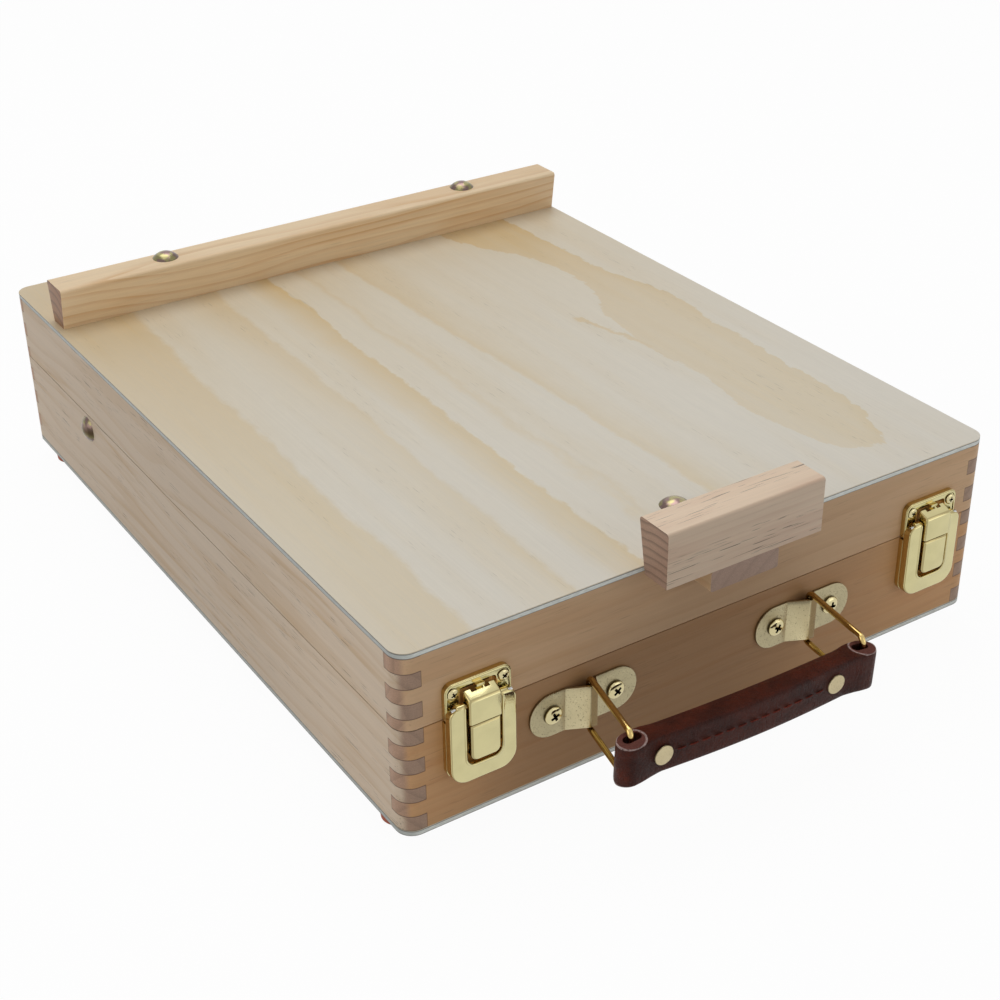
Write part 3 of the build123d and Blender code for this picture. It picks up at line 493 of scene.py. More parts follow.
def closed_band(paint, depth, ragged):
    """1 inside the band, and where it stops on the right.  Its edges are points (depth, across) in mm."""
    left_edge = [
        (20, 262), (32, 243), (48, 238), (76, 234), (128, 238), (160, 236), (184, 239), (208, 243),
        (228, 253), (256, 256), (288, 250), (308, 240), (340, 227), (408, 215),
    ]
    right_edge = [
        (20, 264), (32, 268), (48, 276), (76, 281), (104, 279), (160, 282), (208, 285), (256, 275),
        (408, 275),
    ]
    length = case_depth / mm
    start, stop = (
        paint.curve(depth / length, [(a / curve_depth, b / curve_width) for a, b in edge]) * curve_width
        for edge in (left_edge, right_edge)
    )
    return (ragged - start).rise(-0.6, 0.6) * (stop - ragged).rise(-0.6, 0.6), stop


# %% [markdown]
# ## The whole face of the lid's panel
# The other bands are read from a curve across the panel, and a second curve lets them drift sideways
# towards the front.  Noise frays their edges.  They lie on a cream ground, with fine streaks along the
# grain.

# %% The face of the lid's panel
def panel_face():
    paint = Paint("plywood_lid_panel", roughness=0.4)
    x, y, _ = paint.place()
    across = x - left_face / mm
    depth = y - front_face / mm
    width = case_width / mm
    wave = paint.noise(across / 30, depth / 45, 0.0, detail=3.0, roughness=0.6) - 0.5
    sway = paint.noise(across / 90 + 4, depth / 150, 0.0, detail=1.0) - 0.5
    drift_points = [(0, 0), (0.39, 0.0), (0.46, 0.35), (0.54, 0.7), (0.66, 0.7), (0.74, 0.1), (1, 0)]
    drift = paint.curve(across / width, drift_points) * 24 - 5
    forward = 1 - depth / 340
    jag = paint.noise(across / 4.5, depth / 10, 3.0, detail=4.0, roughness=0.7) - 0.5
    moved = across - drift * forward + wave * 9 + sway * 8 + jag * 6
    band_points = [
        (0, 0.45), (20, 0.65), (37, 0.75), (40, 0.1), (60, 0.06), (76, 0.3), (86, 0.6), (88.5, 0.06),
        (101, 0.05), (108, 0.45), (117, 0.9), (119, 1.0), (120.2, 0.04), (134, 0.1), (137, 0.55), (139, 0.25),
        (152, 0.06), (160, 0.05), (161.5, 0.7), (166, 0.5), (174, 0.25), (184, 0.1), (215, 0.05), (305, 0.05),
    ]
    bands = paint.curve(moved / width, [(a / curve_width, b) for a, b in band_points], straight=True)
    ragged = across + wave * 9 + jag * 9
    tongue, stop = closed_band(paint, depth, ragged)
    tongue = tongue * (depth + jag * 30).rise(20, 24)
    tongue = tongue * (0.62 + (1 - (stop - ragged).rise(0, 9)) * 0.2 + depth.rise(180, 330) * 0.2)
    hook = (ragged - 226 - (208 - depth) * 0.25).size()
    hook = (1 - hook.rise(0.6, 2.4)) * depth.rise(150, 160) * (1 - depth.rise(206, 211))
    tan = bands.most(tongue).most(hook * 0.8)
    streaks = paint.noise(across / 1.1, depth / 60, 0.0, detail=3.0, roughness=0.6)
    broad = paint.noise(across / 14, depth / 160, 2.0, detail=2.0)
    tan = tan * (0.7 + streaks * 0.5) + broad.rise(0.4, 0.7) * 0.16
    cream = paint.mix(depth.rise(60, 380), (219, 213, 200), (211, 199, 176))
    warm = paint.mix(depth.rise(60, 380), (214, 197, 164), (203, 176, 128))
    face = paint.mix(tan.least(1.0), cream, warm)
    dash = paint.noise(across / 0.5, depth / 12, 1.0, detail=1.0)
    flecks = dash.rise(0.66, 0.74) * broad.rise(0.5, 0.62)
    face = paint.shade(face, 0.92 + streaks * 0.14 + jag * 0.06 - flecks * 0.28)
    tone = plywood_edge(paint, face, panel_low.z / mm, (panel_high.z - panel_low.z) / mm)
    return paint.surface(tone, roughness=0.36 + streaks * 0.16, height=streaks, depth=0.03 * mm)


lid_panel_paint = panel_face()


# %% [markdown]
# ## Plain plywood
# The bottom panel, the dividers and the palette are plywood too, with a quieter face.

# %% Plywood for the bottom, the dividers and the palette
def plain_plywood(name, light, dark, low, thickness, seed):
    paint = Paint(name, roughness=0.5)
    x, y, z = paint.place()
    figure = paint.noise(x / 16 + seed, y / 120, z / 16, detail=3.0)
    streaks = paint.noise(x / 1.2, y / 50, z / 1.2 + seed, detail=3.0)
    face = paint.mix(figure.rise(0.35, 0.65), light, dark)
    face = paint.shade(face, 0.92 + streaks * 0.14)
    tone = plywood_edge(paint, face, low, thickness) if thickness else face
    return paint.surface(tone, roughness=0.45 + streaks * 0.15, height=streaks, depth=0.04 * mm)


ply = (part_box("tray_bottom_panel")[1].z - case_bottom) / mm
bottom_ply = plain_plywood("plywood_bottom", (218, 200, 168), (200, 172, 130), case_bottom / mm, ply, 1.0)
divider_ply = plain_plywood("plywood_dividers", (220, 200, 164), (202, 172, 128), 0, 0, 4.0)
palette_low, palette_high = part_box("palette")
palette_ply = plain_plywood(
    "plywood_palette", (196, 158, 112), (172, 128, 82),
    palette_low.z / mm, (palette_high.z - palette_low.z) / mm, 7.0,
)


# %% [markdown]
# ## Plated metal
# Polished plate is smooth with faint wipe marks; satin plate has fine pits and dull patches; yellow zinc
# shifts from straw to green and pink.  All three are the same recipe with other numbers.  Each also
# carries painted reflections: faces turned away from its broad faces take a darker colour, and a dark
# line is painted where a rounded edge turns.

# %% The recipe for plated metal
def plated(
    name, light, edge, roughness=0.15, patches=0.04, pits=0.0, shift=None, main=1, sides=0.7, lines=0.7,
):
    """main is the axis of the broad faces; sides and lines say how much painted reflection darkens the rest.
    """
    paint = Paint(name, roughness=roughness, metallic=1.0)
    x, y, z = paint.place()
    facing = paint.facing()
    cloud = paint.noise(x, y, z, scale=0.12, detail=2.0)
    grain = paint.noise(x, y, z, scale=1.6, detail=3.0, roughness=0.7)
    speck = paint.noise(x, y, z, scale=2.2, detail=1.0)
    marks = speck.rise(0.64, 0.72) * pits
    tone = paint.mix(cloud.rise(0.3, 0.75), light, paint.shade(light, 0.92))
    if shift:
        tone = paint.mix(paint.noise(x, y, z, scale=0.25, detail=1.0).rise(0.42, 0.58), tone, shift)
    # Painted reflection: faces turned away from the main axis take the darker side colour.
    tone = paint.mix((1 - facing[main]).rise(0.45, 1.0) * sides, tone, edge)
    bend = 1 - facing[0].most(facing[1]).most(facing[2])
    # Painted reflection: a dark line where a rounded edge turns.
    tone = paint.mix(bend.rise(0.09, 0.18) * lines, tone, paint.shade(edge, 0.3))
    tone = paint.shade(tone, 1 - marks * 0.6)
    # Painted shade: dark where a screw's mesh marks it, in the cross recess and round the foot of the head.
    tone = paint.mix(paint.mark("recess"), tone, (44, 32, 20))
    dull = roughness + (cloud - 0.5) * patches + (grain - 0.5) * patches + marks * 0.3
    return paint, tone, dull.most(0.05), grain - marks, 0.02 * mm * (1 + pits * 2)


def plain_plated(*values, **settings):
    paint, tone, dull, height, depth = plated(*values, **settings)
    return paint.surface(tone, roughness=dull, height=height, depth=depth)


# %% [markdown]
# ## The plate of the latches and the saddles
# The latches carry painted shade and painted light: their front-facing flats that lie deep behind the lever
# are painted browner, and the gap round the boss and behind the tongue, where little light comes, is
# painted a pale, less metallic brown that stands in for the light bouncing there.  The saddles are satin,
# with painted reflections that make them lighter or darker where the mesh marks their slope, foot and crest.

# %% Plate for the latches and the saddles
tongue_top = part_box("latch_tongue_right")[1].z / mm
latch_middle = (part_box("latch_keeper_right")[0].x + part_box("latch_keeper_right")[1].x) / 2 / mm


def latch_brass():
    """Latch plate: painted browner the deeper it lies behind the lever and the tongue, as painted shade and
    painted bounce light.
    """
    look = dict(roughness=0.14, sides=0.6, lines=0.5)
    paint, tone, dull, height, depth = plated("brass_latch", (204, 195, 147), (206, 170, 92), **look)
    x, y, z = paint.place()
    behind = y - front_face / mm
    off_middle = (x.size() - latch_middle).size()
    above = z.rise(seam / mm - 0.3, seam / mm)
    # Painted shade: front-facing flats that lie deep, close to the wood, turn browner.
    low = behind.rise(-1.8, -1.2) * paint.facing()[1].rise(0.6, 0.9)
    between = 1 - off_middle.rise(8.6, 9.0)
    # Painted light: in the gap round the boss and behind the tongue the plate is pale and less metallic, in
    # place of the light bouncing in these shaded gaps.
    inside = behind.rise(-5.8, -2.8) * between * (1 - above)
    pocket = behind.rise(-3.6, -2.9) * between * above * (1 - z.rise(tongue_top - 0.8, tongue_top - 0.3))
    hidden = inside.most(pocket)
    tone = paint.mix(low * 0.8, tone, (150, 104, 50))
    tone = paint.mix(hidden * 0.9, tone, (240, 186, 104))
    return paint.surface(tone, dull + hidden * 0.3, height, depth, metallic=1 - hidden * 0.8)


def saddle_brass():
    """Saddle plate: satin and pitted, with painted reflections where the mesh marks them."""
    look = dict(roughness=0.3, patches=0.14, pits=1.0, sides=0.4, lines=0.3)
    paint, tone, dull, height, depth = plated("brass_saddle", (170, 159, 126), (120, 100, 66), **look)
    # Painted reflection: the mesh's mark makes the slope lighter, and its foot and the crest darker gold.
    bent = paint.mark("bent")
    tone = paint.shade(tone, 1 + bent.most(0) * 0.5)
    tone = paint.mix((0 - bent).most(0), tone, (110, 84, 44))
    return paint.surface(tone, dull, height, depth)


# %% [markdown]
# ## All the metals
# The others are the plain recipe with their own two colours: on the broad faces, and on the sides, where
# the darker colour is a painted reflection.

# %% The metals
latch_plate = latch_brass()
saddle_plate = saddle_brass()
wire_plate = plain_plated("brass_wire", (214, 188, 124), (172, 134, 70), 0.1, 0.05, sides=0.5, lines=0.25)
screw_plate = plain_plated("brass_screw", (206, 194, 150), (112, 92, 50), 0.14, 0.06, sides=0.8, lines=0.0)
rivet_plate = plain_plated("brass_rivet", (196, 182, 146), (120, 96, 60), 0.45, 0.3, pits=1.3)
hinge_plate = plain_plated("brass_hinge", (200, 176, 112), (150, 120, 62), 0.22, 0.08)
zinc = plain_plated(
    "yellow_zinc", (166, 158, 112), (84, 70, 46), 0.24, 0.1, shift=(140, 116, 112), main=2,
    sides=0.9, lines=0.5,
)
nickel = plain_plated("nickel", (196, 196, 194), (130, 130, 128), 0.22, 0.1, lines=0.4)
prop_plate = plain_plated("brass_prop", (196, 176, 118), (150, 126, 76), 0.26, 0.1, main=0)


# %% [markdown]
# ## Where the grip hangs
# The grip hangs a little askew between its two loose wires.  Its place and its tilt are needed twice: for
# the paint round its two holes, and later for its shape.

# %% The grip's place
grip_low, grip_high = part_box("handle_grip")
grip_x = (grip_low.x + grip_high.x) / 2
grip_y = grip_low.y + 6.98 * mm
grip_z = (grip_low.z + grip_high.z) / 2
loop_x, loop_radius = 60.0, 5.8
grip_half_height = 9.3
tilt, lean = math.radians(1.75), math.radians(0.5)
grip_turn = Matrix.Rotation(tilt, 4, "Y") @ Matrix.Rotation(lean, 4, "X")
grip_pose = Matrix.Translation((grip_x, grip_y, grip_z)) @ grip_turn
print("grip at", [round(number / mm, 1) for number in grip_pose.translation], "mm")


# %% [markdown]
# ## Leather and rubber
# The grip is drum-dyed leather with a low gloss.  Its grain is a net of small cells, which a Voronoi
# texture gives, stretched a little along the strap; creases gather where it bends.  Faces that look to the
# front or back are painted darker, as painted shade.  The cut rims of its holes are paler and fuzzy, with
# a thin pale line round their outer edge that is a painted highlight.  The feet are soft brick-red rubber.

# %% Leather, the thread and the rubber
def leather(name, tone_a, tone_b, roughness, rims=False):
    paint = Paint(name, roughness=roughness)
    paint.shader.inputs["Specular IOR Level"].default_value = 0.1
    x, y, z = paint.place()
    cells = paint.node(
        "ShaderNodeTexVoronoi", {"feature": "DISTANCE_TO_EDGE"},
        Vector=paint.point(x / 1.5, y / 1.1, z / 1.1), Scale=1.6,
    )
    creases = paint.noise(
        (x + y) / 1.3, (y - x * 0.3) / 3.6, z / 4.0, detail=4.0, roughness=0.65, distortion=1.0,
    )
    cloud = paint.noise(x / 14, y / 8, z / 8, detail=2.0)
    tone = paint.mix(cloud.rise(0.3, 0.7), tone_a, tone_b)
    tone = paint.shade(tone, 0.36 + cells.rise(0.0, 0.12) * 0.16 + creases * 1.0)
    # Painted shade: faces that look along Y are darker.
    tone = paint.shade(tone, 1 - paint.facing()[1].rise(0.6, 0.95) * 0.24)
    relief = cells.rise(0.0, 0.16) * 0.4 + creases * 2.6
    dull = roughness + (creases - 0.5) * 0.18
    if rims:
        back = grip_pose.inverted()
        along, deep, high = (
            x * back[row][0] + y * back[row][1] + z * back[row][2] + back[row][3] / mm for row in range(3)
        )
        ring = (((along.size() - loop_x + 0.3) / 6.1) ** 2 + (deep / loop_radius) ** 2) ** 0.5
        level = high + (along.size() - 53).most(0) * 0.11
        on_top = paint.facing()[2].rise(0.8, 0.92) * level.size().rise(7.0, 8.0)
        cut = on_top * (1 - ring.rise(1.0, 1.03))
        fuzz = paint.noise(x, y, z, scale=2.5, detail=3.0, roughness=0.7)
        tone = paint.mix(cut, tone, paint.shade((118, 72, 64), 0.4 + fuzz * 1.0))
        # Painted highlight: a thin pale line round the outer edge of each hole's rim.
        outline = ring.rise(0.88, 0.95) * (1 - ring.rise(1.02, 1.08)) * level.size().rise(8.5, 8.9)
        tone = paint.mix(outline * fuzz.rise(0.35, 0.55) * 0.85, tone, (214, 190, 184))
        dull = dull + cut * 0.35
    return paint.surface(tone, roughness=dull, height=relief, depth=0.45 * mm)


grip_leather = leather("leather_grip", (95, 40, 24), (70, 29, 18), 0.34, rims=True)
thread = leather("thread", (136, 60, 46), (116, 48, 36), 0.6)


def rubber_paint():
    paint = Paint("rubber_feet", roughness=0.55)
    x, y, z = paint.place()
    dust = paint.noise(x, y, z, scale=0.9, detail=3.0)
    tone = paint.mix(dust.rise(0.35, 0.7), (176, 84, 44), (150, 64, 32))
    return paint.surface(tone, roughness=0.5 + dust * 0.2, height=dust, depth=0.05 * mm)


rubber = rubber_paint()


# %% [markdown]
# ## Paint the solid nodes that stay
# The boards, panels and bars already have their true shape, so they only take a material.

# %% Materials on the solid nodes
painted = {
    side_pine["tray"]: ["tray_left_board", "tray_right_board"],
    side_pine["lid"]: ["lid_left_board", "lid_right_board"],
    front_pine["tray"]: ["tray_front_board", "tray_back_board"],
    front_pine["lid"]: ["lid_front_board", "lid_back_board"],
    ledge_pine: ["canvas_ledge"],
    block_pine: ["clamp_block"],
    bar_pine: ["clamp_bar", "clamp_dowels"],
    rail_pine: ["palette_rails", "clamp_guides"],
    lid_panel_paint: ["lid_top_panel"],
    bottom_ply: ["tray_bottom_panel"],
    divider_ply: ["divider_cross_front", "divider_cross_back", "divider_middle", "divider_rear_pair"],
    palette_ply: ["palette"],
    rubber: ["rubber_feet"],
    zinc: [
        "ledge_bolts", "clamp_bolt", "prop_bolts", "lid_washers", "prop_washers", "wing_nut_ledge_left",
        "wing_nut_ledge_right", "wing_nut_clamp", "wing_nut_prop_left", "wing_nut_prop_right",
    ],
    nickel: ["prop_studs", "hinge_pins", "latch_pins"],
    prop_plate: ["prop_left", "prop_right"],
    hinge_plate: ["hinge_tray_leaves", "hinge_lid_leaves"],
    screw_plate: [
        "hinge_tray_screws", "hinge_lid_screws", "latch_base_screws", "latch_keeper_screws",
        "handle_saddle_screws",
    ],
    latch_plate: [
        f"latch_{part}_{side}" for part in ("base", "keeper", "lever", "tongue") for side in ("left", "right")
    ],
    saddle_plate: ["handle_saddle_left", "handle_saddle_right"],
    wire_plate: ["bail_left", "bail_right"],
    grip_leather: ["handle_grip"],
    rivet_plate: ["handle_rivets"],
}
for paint, names in painted.items():
    for name in names:
        nodes[name].data.materials.clear()
        nodes[name].data.materials.append(paint)
print(sum(len(names) for names in painted.values()), "nodes painted")


# %% [markdown]
# ## The leather grip
# On the real handle a strip of leather is folded round both wires, padded in the middle and stitched
# shut.  So its ends are open tubes with a raw cut rim, and its middle is a cushion.  Its section is a
# superellipse, nearly a rectangle at the loops and rounder in the middle, and its ends droop.

# %% The grip's sections
neck_x, droop_from, droop_slope = 47.0, 53, 0.11
front_swell, back_swell = (4.9, 7.0), (4.6, 3.2)
hole_places, hole_radius, hole_reach = (-58.5, 59.0), 2.15, 1.95
stitch_middle = -3.2


def ease(low, high, value):
    """0 at low, 1 at high, and a smooth step between them."""
    share = min(max((value - low) / (high - low), 0), 1)
    return share * share * (3 - 2 * share)


def strap_half(x, swell):
    """How far the strap's face is from its middle plane at x; swell gives this at the neck and the middle."""
    out = abs(x)
    if out > loop_x:
        return math.sqrt(max(loop_radius**2 - (out - loop_x) ** 2, 0.02))
    neck, middle = swell
    loop = neck + (loop_radius - neck) * ease(neck_x, loop_x - 2, out)
    cushion = math.cos(min(out / neck_x, 1) * math.pi / 2) ** 0.9
    return loop + (middle - neck) * cushion


def strap_point(along, side, up):
    """A point of the strap in mm, from a place on a round bar of radius 1 and half length 1."""
    x = (loop_x + loop_radius) * math.sin(along * math.pi / 2)
    middle = 1 - ease(46.0, 52.5, abs(x))
    power = 2 / (12.0 - 2.0 * middle)
    half = strap_half(x, front_swell if side < 0 else back_swell)
    y = math.copysign(abs(side) ** power, side) * half
    z = math.copysign(abs(up) ** power, up) * grip_half_height
    crown = middle * (1 - (y / half) ** 2)
    z += (crown * 0.9 - 0.5 * middle) * (1 if up > 0 else -0.3)
    return Vector((x, y, z - max(abs(x) - droop_from, 0) * droop_slope)) * mm


# %% [markdown]
# ## From a cylinder to the grip
# A cylinder is laid along X, and its long edges are subdivided into rings.  Then every ring is pushed to
# the section that the strap has at that place, and a stadium-shaped cutter opens the two holes.

# %% Make the grip
def cut(made, cutters):
    """Takes the cutters out of an object, and deletes them."""
    only(made)
    for cutter in cutters:
        modify("BOOLEAN", object=cutter, operation="DIFFERENCE", solver="EXACT")
        bpy.data.objects.remove(cutter)


def grip_hole(x):
    """The cutter for one loop: a stadium that stands upright whatever the strap's lean."""
    deselect()
    where = (grip_x + x * mm, grip_y + 0.6 * mm, grip_z)
    bpy.ops.mesh.primitive_cylinder_add(vertices=40, radius=hole_radius * mm, depth=40 * mm, location=where)
    place_applied()
    nudge(lambda p: p + Vector((math.copysign(hole_reach * mm, p.x - where[0]), 0, 0)))
    return active()


def make_grip():
    cutters = [grip_hole(x) for x in hole_places]
    deselect()
    bpy.ops.mesh.primitive_cylinder_add(vertices=56, radius=1, depth=2, rotation=(0, math.pi / 2, 0))
    place_applied()
    pick("EDGE", lambda centre, direction: abs(direction.x) > 0.9)
    bpy.ops.mesh.subdivide(number_cuts=119)
    nudge(lambda p: strap_point(p.x, p.y, p.z))
    nudge(lambda p: grip_pose @ p)
    cut(active(), cutters)
    smooth(40)
    return finish("grip_leather", "handle_grip", "leather", grip_leather, "handle_grip")


make_grip()


# %% [markdown]
# ## Stitches
# A row of short stitches closes the seam along the grip's front, from rivet to rivet.  Each is a thread
# that dips into the leather at both ends.

# %% Stitches
def join(objects):
    only(objects[0])
    for one in objects:
        one.select_set(True)
    bpy.ops.object.join()


def make_stitches():
    pitch, length, thread_radius = 5.9, 4.9, 0.34
    pieces = []
    for step in range(-6, 7):
        deselect()
        bpy.ops.mesh.primitive_cylinder_add(
            vertices=10, radius=thread_radius * mm, depth=length * mm, rotation=(0, math.pi / 2, 0.06),
        )
        place_applied()
        pick("EDGE", lambda centre, direction: abs(direction.x) > 0.9)
        bpy.ops.mesh.subdivide(number_cuts=7)
        centre_x = step * pitch + stitch_middle

        def on_leather(p, centre_x=centre_x):
            share = min(abs(p.x / mm) / (length / 2), 1)
            x = centre_x + p.x / mm
            depth = strap_half(x, front_swell) + 0.12 - 0.6 * share**4
            return grip_pose @ (Vector((x, -depth + p.y / mm * (1 - 0.3 * share), p.z / mm)) * mm)

        nudge(on_leather)
        pieces.append(active())
    join(pieces)
    smooth(60)
    return finish("grip_stitches", "handle_grip", "leather", thread)


make_stitches()


# %% [markdown]
# ## Rivets
# The rivets have flat heads with a slightly rounded rim.  Like other pressed or sanded pieces, they are a
# copy of the solid with its sharp edges eased: the loose triangles are merged, flat faces are put
# together again, and a bevel rounds what is still sharp.

# %% Eased copies of solids, and the rivets
def copy_of(source):
    """A copy with its own mesh."""
    twin = source.copy()
    twin.data = source.data.copy()
    bpy.context.scene.collection.objects.link(twin)
    return twin


def softened(node, width, segments=3, limit=35):
    """A copy of a solid node with its sharp edges eased, as pressing or sanding leaves them."""
    made = copy_of(nodes[node])
    for key in list(made.keys()):
        del made[key]
    made.parent = None
    only(made)
    edit_all()
    bpy.ops.mesh.remove_doubles(threshold=0.003 * mm)
    bpy.ops.mesh.dissolve_limited(angle_limit=math.radians(1.0))
    object_mode()
    bpy.ops.mesh.customdata_custom_splitnormals_clear()
    if width:
        modify("BEVEL", width=width, segments=segments, limit_method="ANGLE", angle_limit=math.radians(limit))
    smooth(35)
    return made


widen = Vector((1.12, 1.0, 1.12))  # across the heads, not along the rivets
rivets = softened("handle_rivets", 0.35 * mm, 3).data.vertices
for sign in (-1, 1):
    rivet = [point for point in rivets if (point.co.x - grip_x) * sign > 0]
    middle = sum((point.co for point in rivet), Vector()) / len(rivet)
    for point in rivet:
        point.co = middle + widen * (point.co - middle)
finish("grip_rivets", "handle_grip", "rivet_brass", rivet_plate, "handle_rivets")


# %% [markdown]
# ## The saddles
# Each saddle is a strip of sheet brass with round ends, pressed into an arch over the bail's wire.  The
# arch has a long flat slope on its left, a narrow crest over the wire, and a steep side on its right.  A
# grid is bent to that profile row by row, its ends are drawn in to half circles, and it is given its
# thickness.  Its faces carry a mark for painted reflection, which the satin plate's colour reads: the
# slope is painted lighter, and the foot of the slope and the crest darker.

# %% Make the saddles
saddle_half_length, saddle_radius, sheet = 26.3, 10.2, 1.2


def saddle_rise(x):
    """How far the outer face of the sheet stands out at x, in mm from the arch's middle."""
    up = min(max((x + 9.4) / 9.6, 0), 1)
    return sheet + 4.6 * min(up, 1 - ease(3.3, 5.9, x))


def saddle_point(p):
    x = p.x * saddle_half_length
    past = max(abs(x) - (saddle_half_length - saddle_radius), 0)
    half_height = math.sqrt(max(saddle_radius**2 - past**2, 0.0))
    return Vector((x, -saddle_rise(x), p.y * half_height)) * mm


def weld():
    """Merges the points that lie together, and turns every face outwards."""
    edit_all()
    bpy.ops.mesh.remove_doubles(threshold=0.01 * mm)
    bpy.ops.mesh.normals_make_consistent(inside=False)
    object_mode()


def mark_faces(made, name, rule):
    """Writes a number on each face, for a material to read."""
    marks = made.data.attributes.new(name, "FLOAT", "FACE")
    for number, face in enumerate(made.data.polygons):
        marks.data[number].value = rule(face.center)


def make_saddle(side):
    low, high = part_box(f"handle_saddle_{side}")
    deselect()
    bpy.ops.mesh.primitive_grid_add(x_subdivisions=120, y_subdivisions=10, size=2)
    nudge(lambda p: Vector((math.sin(p.x * math.pi / 2) * 0.25 + p.x * 0.75, p.y, 0)))
    nudge(saddle_point)
    weld()
    made = active()
    outward = sum(face.normal.y for face in made.data.polygons) < 0
    modify("SOLIDIFY", thickness=(sheet - 0.05) * mm, offset=-1 if outward else 1)
    modify("BEVEL", width=0.3 * mm, segments=3, limit_method="ANGLE", angle_limit=math.radians(50))
    made.data.transform(Matrix.Translation(((low.x + high.x) / 2, high.y, (low.z + high.z) / 2)))

    # The mark for painted reflection: positive on the slope, negative at its foot and on the crest.
    def bent(centre):
        x = (centre.x - (low.x + high.x) / 2) / mm
        slope = ease(-9.6, -9.0, x) * (1 - ease(-0.2, 0.4, x))
        foot = ease(-12.5, -9.6, x) * (1 - ease(-9.6, -9.0, x))
        crest = ease(-0.2, 0.4, x) * (1 - ease(5.6, 6.2, x))
        return slope * (1.0 + 0.05 * x) - foot * 0.3 - crest * 0.75

    mark_faces(made, "bent", bent)
    smooth(40)
    return finish(f"saddle_{side}", "tray", "saddle_brass", saddle_plate, f"handle_saddle_{side}")


for side in ("left", "right"):
    make_saddle(side)


# %% [markdown]
# ## Screws
# A pan-head screw is a low dome with a cross-shaped recess.  The dome is spun from its profile, and the
# recess is cut with two crossed wedges that narrow as they go down.  Its faces carry a mark for painted
# shade, in the recess and in a ring round the foot of the head, and the plate is painted dark there.

# %% A screw
def screw_master(radius, height, shank, length):
    """A screw that points up along Z, with the face it sits on at Z = 0."""
    deselect()
    bpy.ops.mesh.primitive_plane_add(size=2)
    bpy.ops.object.mode_set(mode="EDIT")
    bpy.ops.mesh.delete(type="VERT")
    object_mode()
    made = active()
    profile = [(0.0, -length), (shank, -length + shank), (shank, 0.0), (radius, 0.0)]
    profile += [
        (radius * math.cos(turn * math.pi / 20) ** 0.75, height * (0.3 + 0.7 * math.sin(turn * math.pi / 20)))
        for turn in range(11)
    ]
    corners = [(x * mm, 0, z * mm) for x, z in profile]
    made.data.from_pydata(corners, [(i, i + 1) for i in range(len(profile) - 1)], [])
    edit_all()
    bpy.ops.mesh.spin(steps=36, angle=math.tau, center=(0, 0, 0), axis=(0, 0, 1))
    weld()
    wide, long, deep = radius * 0.4, radius * 1.36, height * 1.5
    cutters = []
    for quarter in (0, 1):
        deselect()
        bpy.ops.mesh.primitive_cube_add(size=1)

        def wedge(p, quarter=quarter):
            narrow = 0.5 if p.z < 0 else 1.0
            x, y = p.x * long * narrow, p.y * wide * narrow
            turned = (-y, x, p.z * deep) if quarter else (x, y, p.z * deep)
            return Vector(turned) * mm + Vector((0, 0, height * mm))

        nudge(wedge)
        cutters.append(active())
    cut(made, cutters)

    # The mark for painted shade: 1 in the cross recess, 0.8 in a ring round the foot of the head.
    def recess(centre):
        out, up = min(centre.xy.length / (radius * mm), 1), centre.z / (height * mm)
        dome = 0.3 + 0.7 * math.sqrt(1 - out ** (8 / 3))
        if out < 0.75 and 0.1 < up < dome - 0.12:
            return 1.0
        return 0.8 if out > 0.96 and up < 0.3 else 0.0

    mark_faces(made, "recess", recess)
    smooth(35)
    return made


# %% [markdown]
# ## Where the screws go
# Two screws hold each saddle, each latch's base and each keeper.  Their heads stand on the plates.  One
# screw is made for each size, and its copies are turned by different amounts, as screws are when they
# are driven home.

# %% Place the screws
def screws(name, node, body, radius, height, shank, length, spots, slot="screw_brass"):
    """Copies of one screw at each (place, outward direction)."""
    master = screw_master(radius, height, shank, length)
    copies = []
    for number, (place, outward) in enumerate(spots):
        turn = Matrix.Rotation(number * 1.9 + 0.4, 4, "Z")
        aim_at = Vector(outward).to_track_quat("Z", "Y").to_matrix().to_4x4()
        copies.append(copy_of(master))
        copies[-1].data.transform(Matrix.Translation(place) @ aim_at @ turn)
    bpy.data.objects.remove(master)
    join(copies)
    return finish(name, body, slot, screw_plate, node)


front_out = (0, -1, 0)
saddle_apart, keeper_apart, base_apart = 15.4, 11.4, 10.6
keeper_down, base_up = 4.6, 12
saddle_spots, keeper_spots, base_spots = [], [], []
for side in ("left", "right"):
    low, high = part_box(f"handle_saddle_{side}")
    middle = (low + high) / 2
    for dx in (-saddle_apart, saddle_apart):
        saddle_spots.append(((middle.x + dx * mm, high.y - sheet * mm, middle.z), front_out))
screws("saddle_screws", "handle_saddle_screws", "tray", 4.2, 2.1, 1.6, 9.0, saddle_spots)

latch_plate_y = front_face - 2.4 * mm
for side in ("left", "right"):
    low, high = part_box(f"latch_keeper_{side}")
    middle_x = (low.x + high.x) / 2
    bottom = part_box(f"latch_base_{side}")[0].z
    for sign in (-1, 1):
        keeper_x, base_x = (middle_x + sign * apart * mm for apart in (keeper_apart, base_apart))
        keeper_spots.append(((keeper_x, latch_plate_y, high.z - keeper_down * mm), front_out))
        base_spots.append(((base_x, latch_plate_y, bottom + base_up * mm), front_out))
screws("latch_keeper_screw_heads", "latch_keeper_screws", "lid", 2.5, 1.2, 1.1, 8.0, keeper_spots)
screws("latch_base_screw_heads", "latch_base_screws", "tray", 2.5, 1.2, 1.1, 8.0, base_spots)


# %% [markdown]
# ## The latches
# The plates and the boss are pressings, so none of their edges is sharp.  Each is a copy of the solid
# part with its edges rounded.

# %% Round the edges of the plates
for side in ("left", "right"):
    for part, body, width in (("base", "tray", 0.5), ("keeper", "lid", 0.35)):
        node = f"latch_{part}_{side}"
        softened(node, width * mm, 3, 40)
        finish(f"soft_{node}", body, "latch_brass", latch_plate, node)


# %% [markdown]
# ## The rolled rims
# The outline of each plate is rolled over to a round bead.  A curve with a round section is drawn along a
# U, up one side, round two corners and back, and then made a mesh.

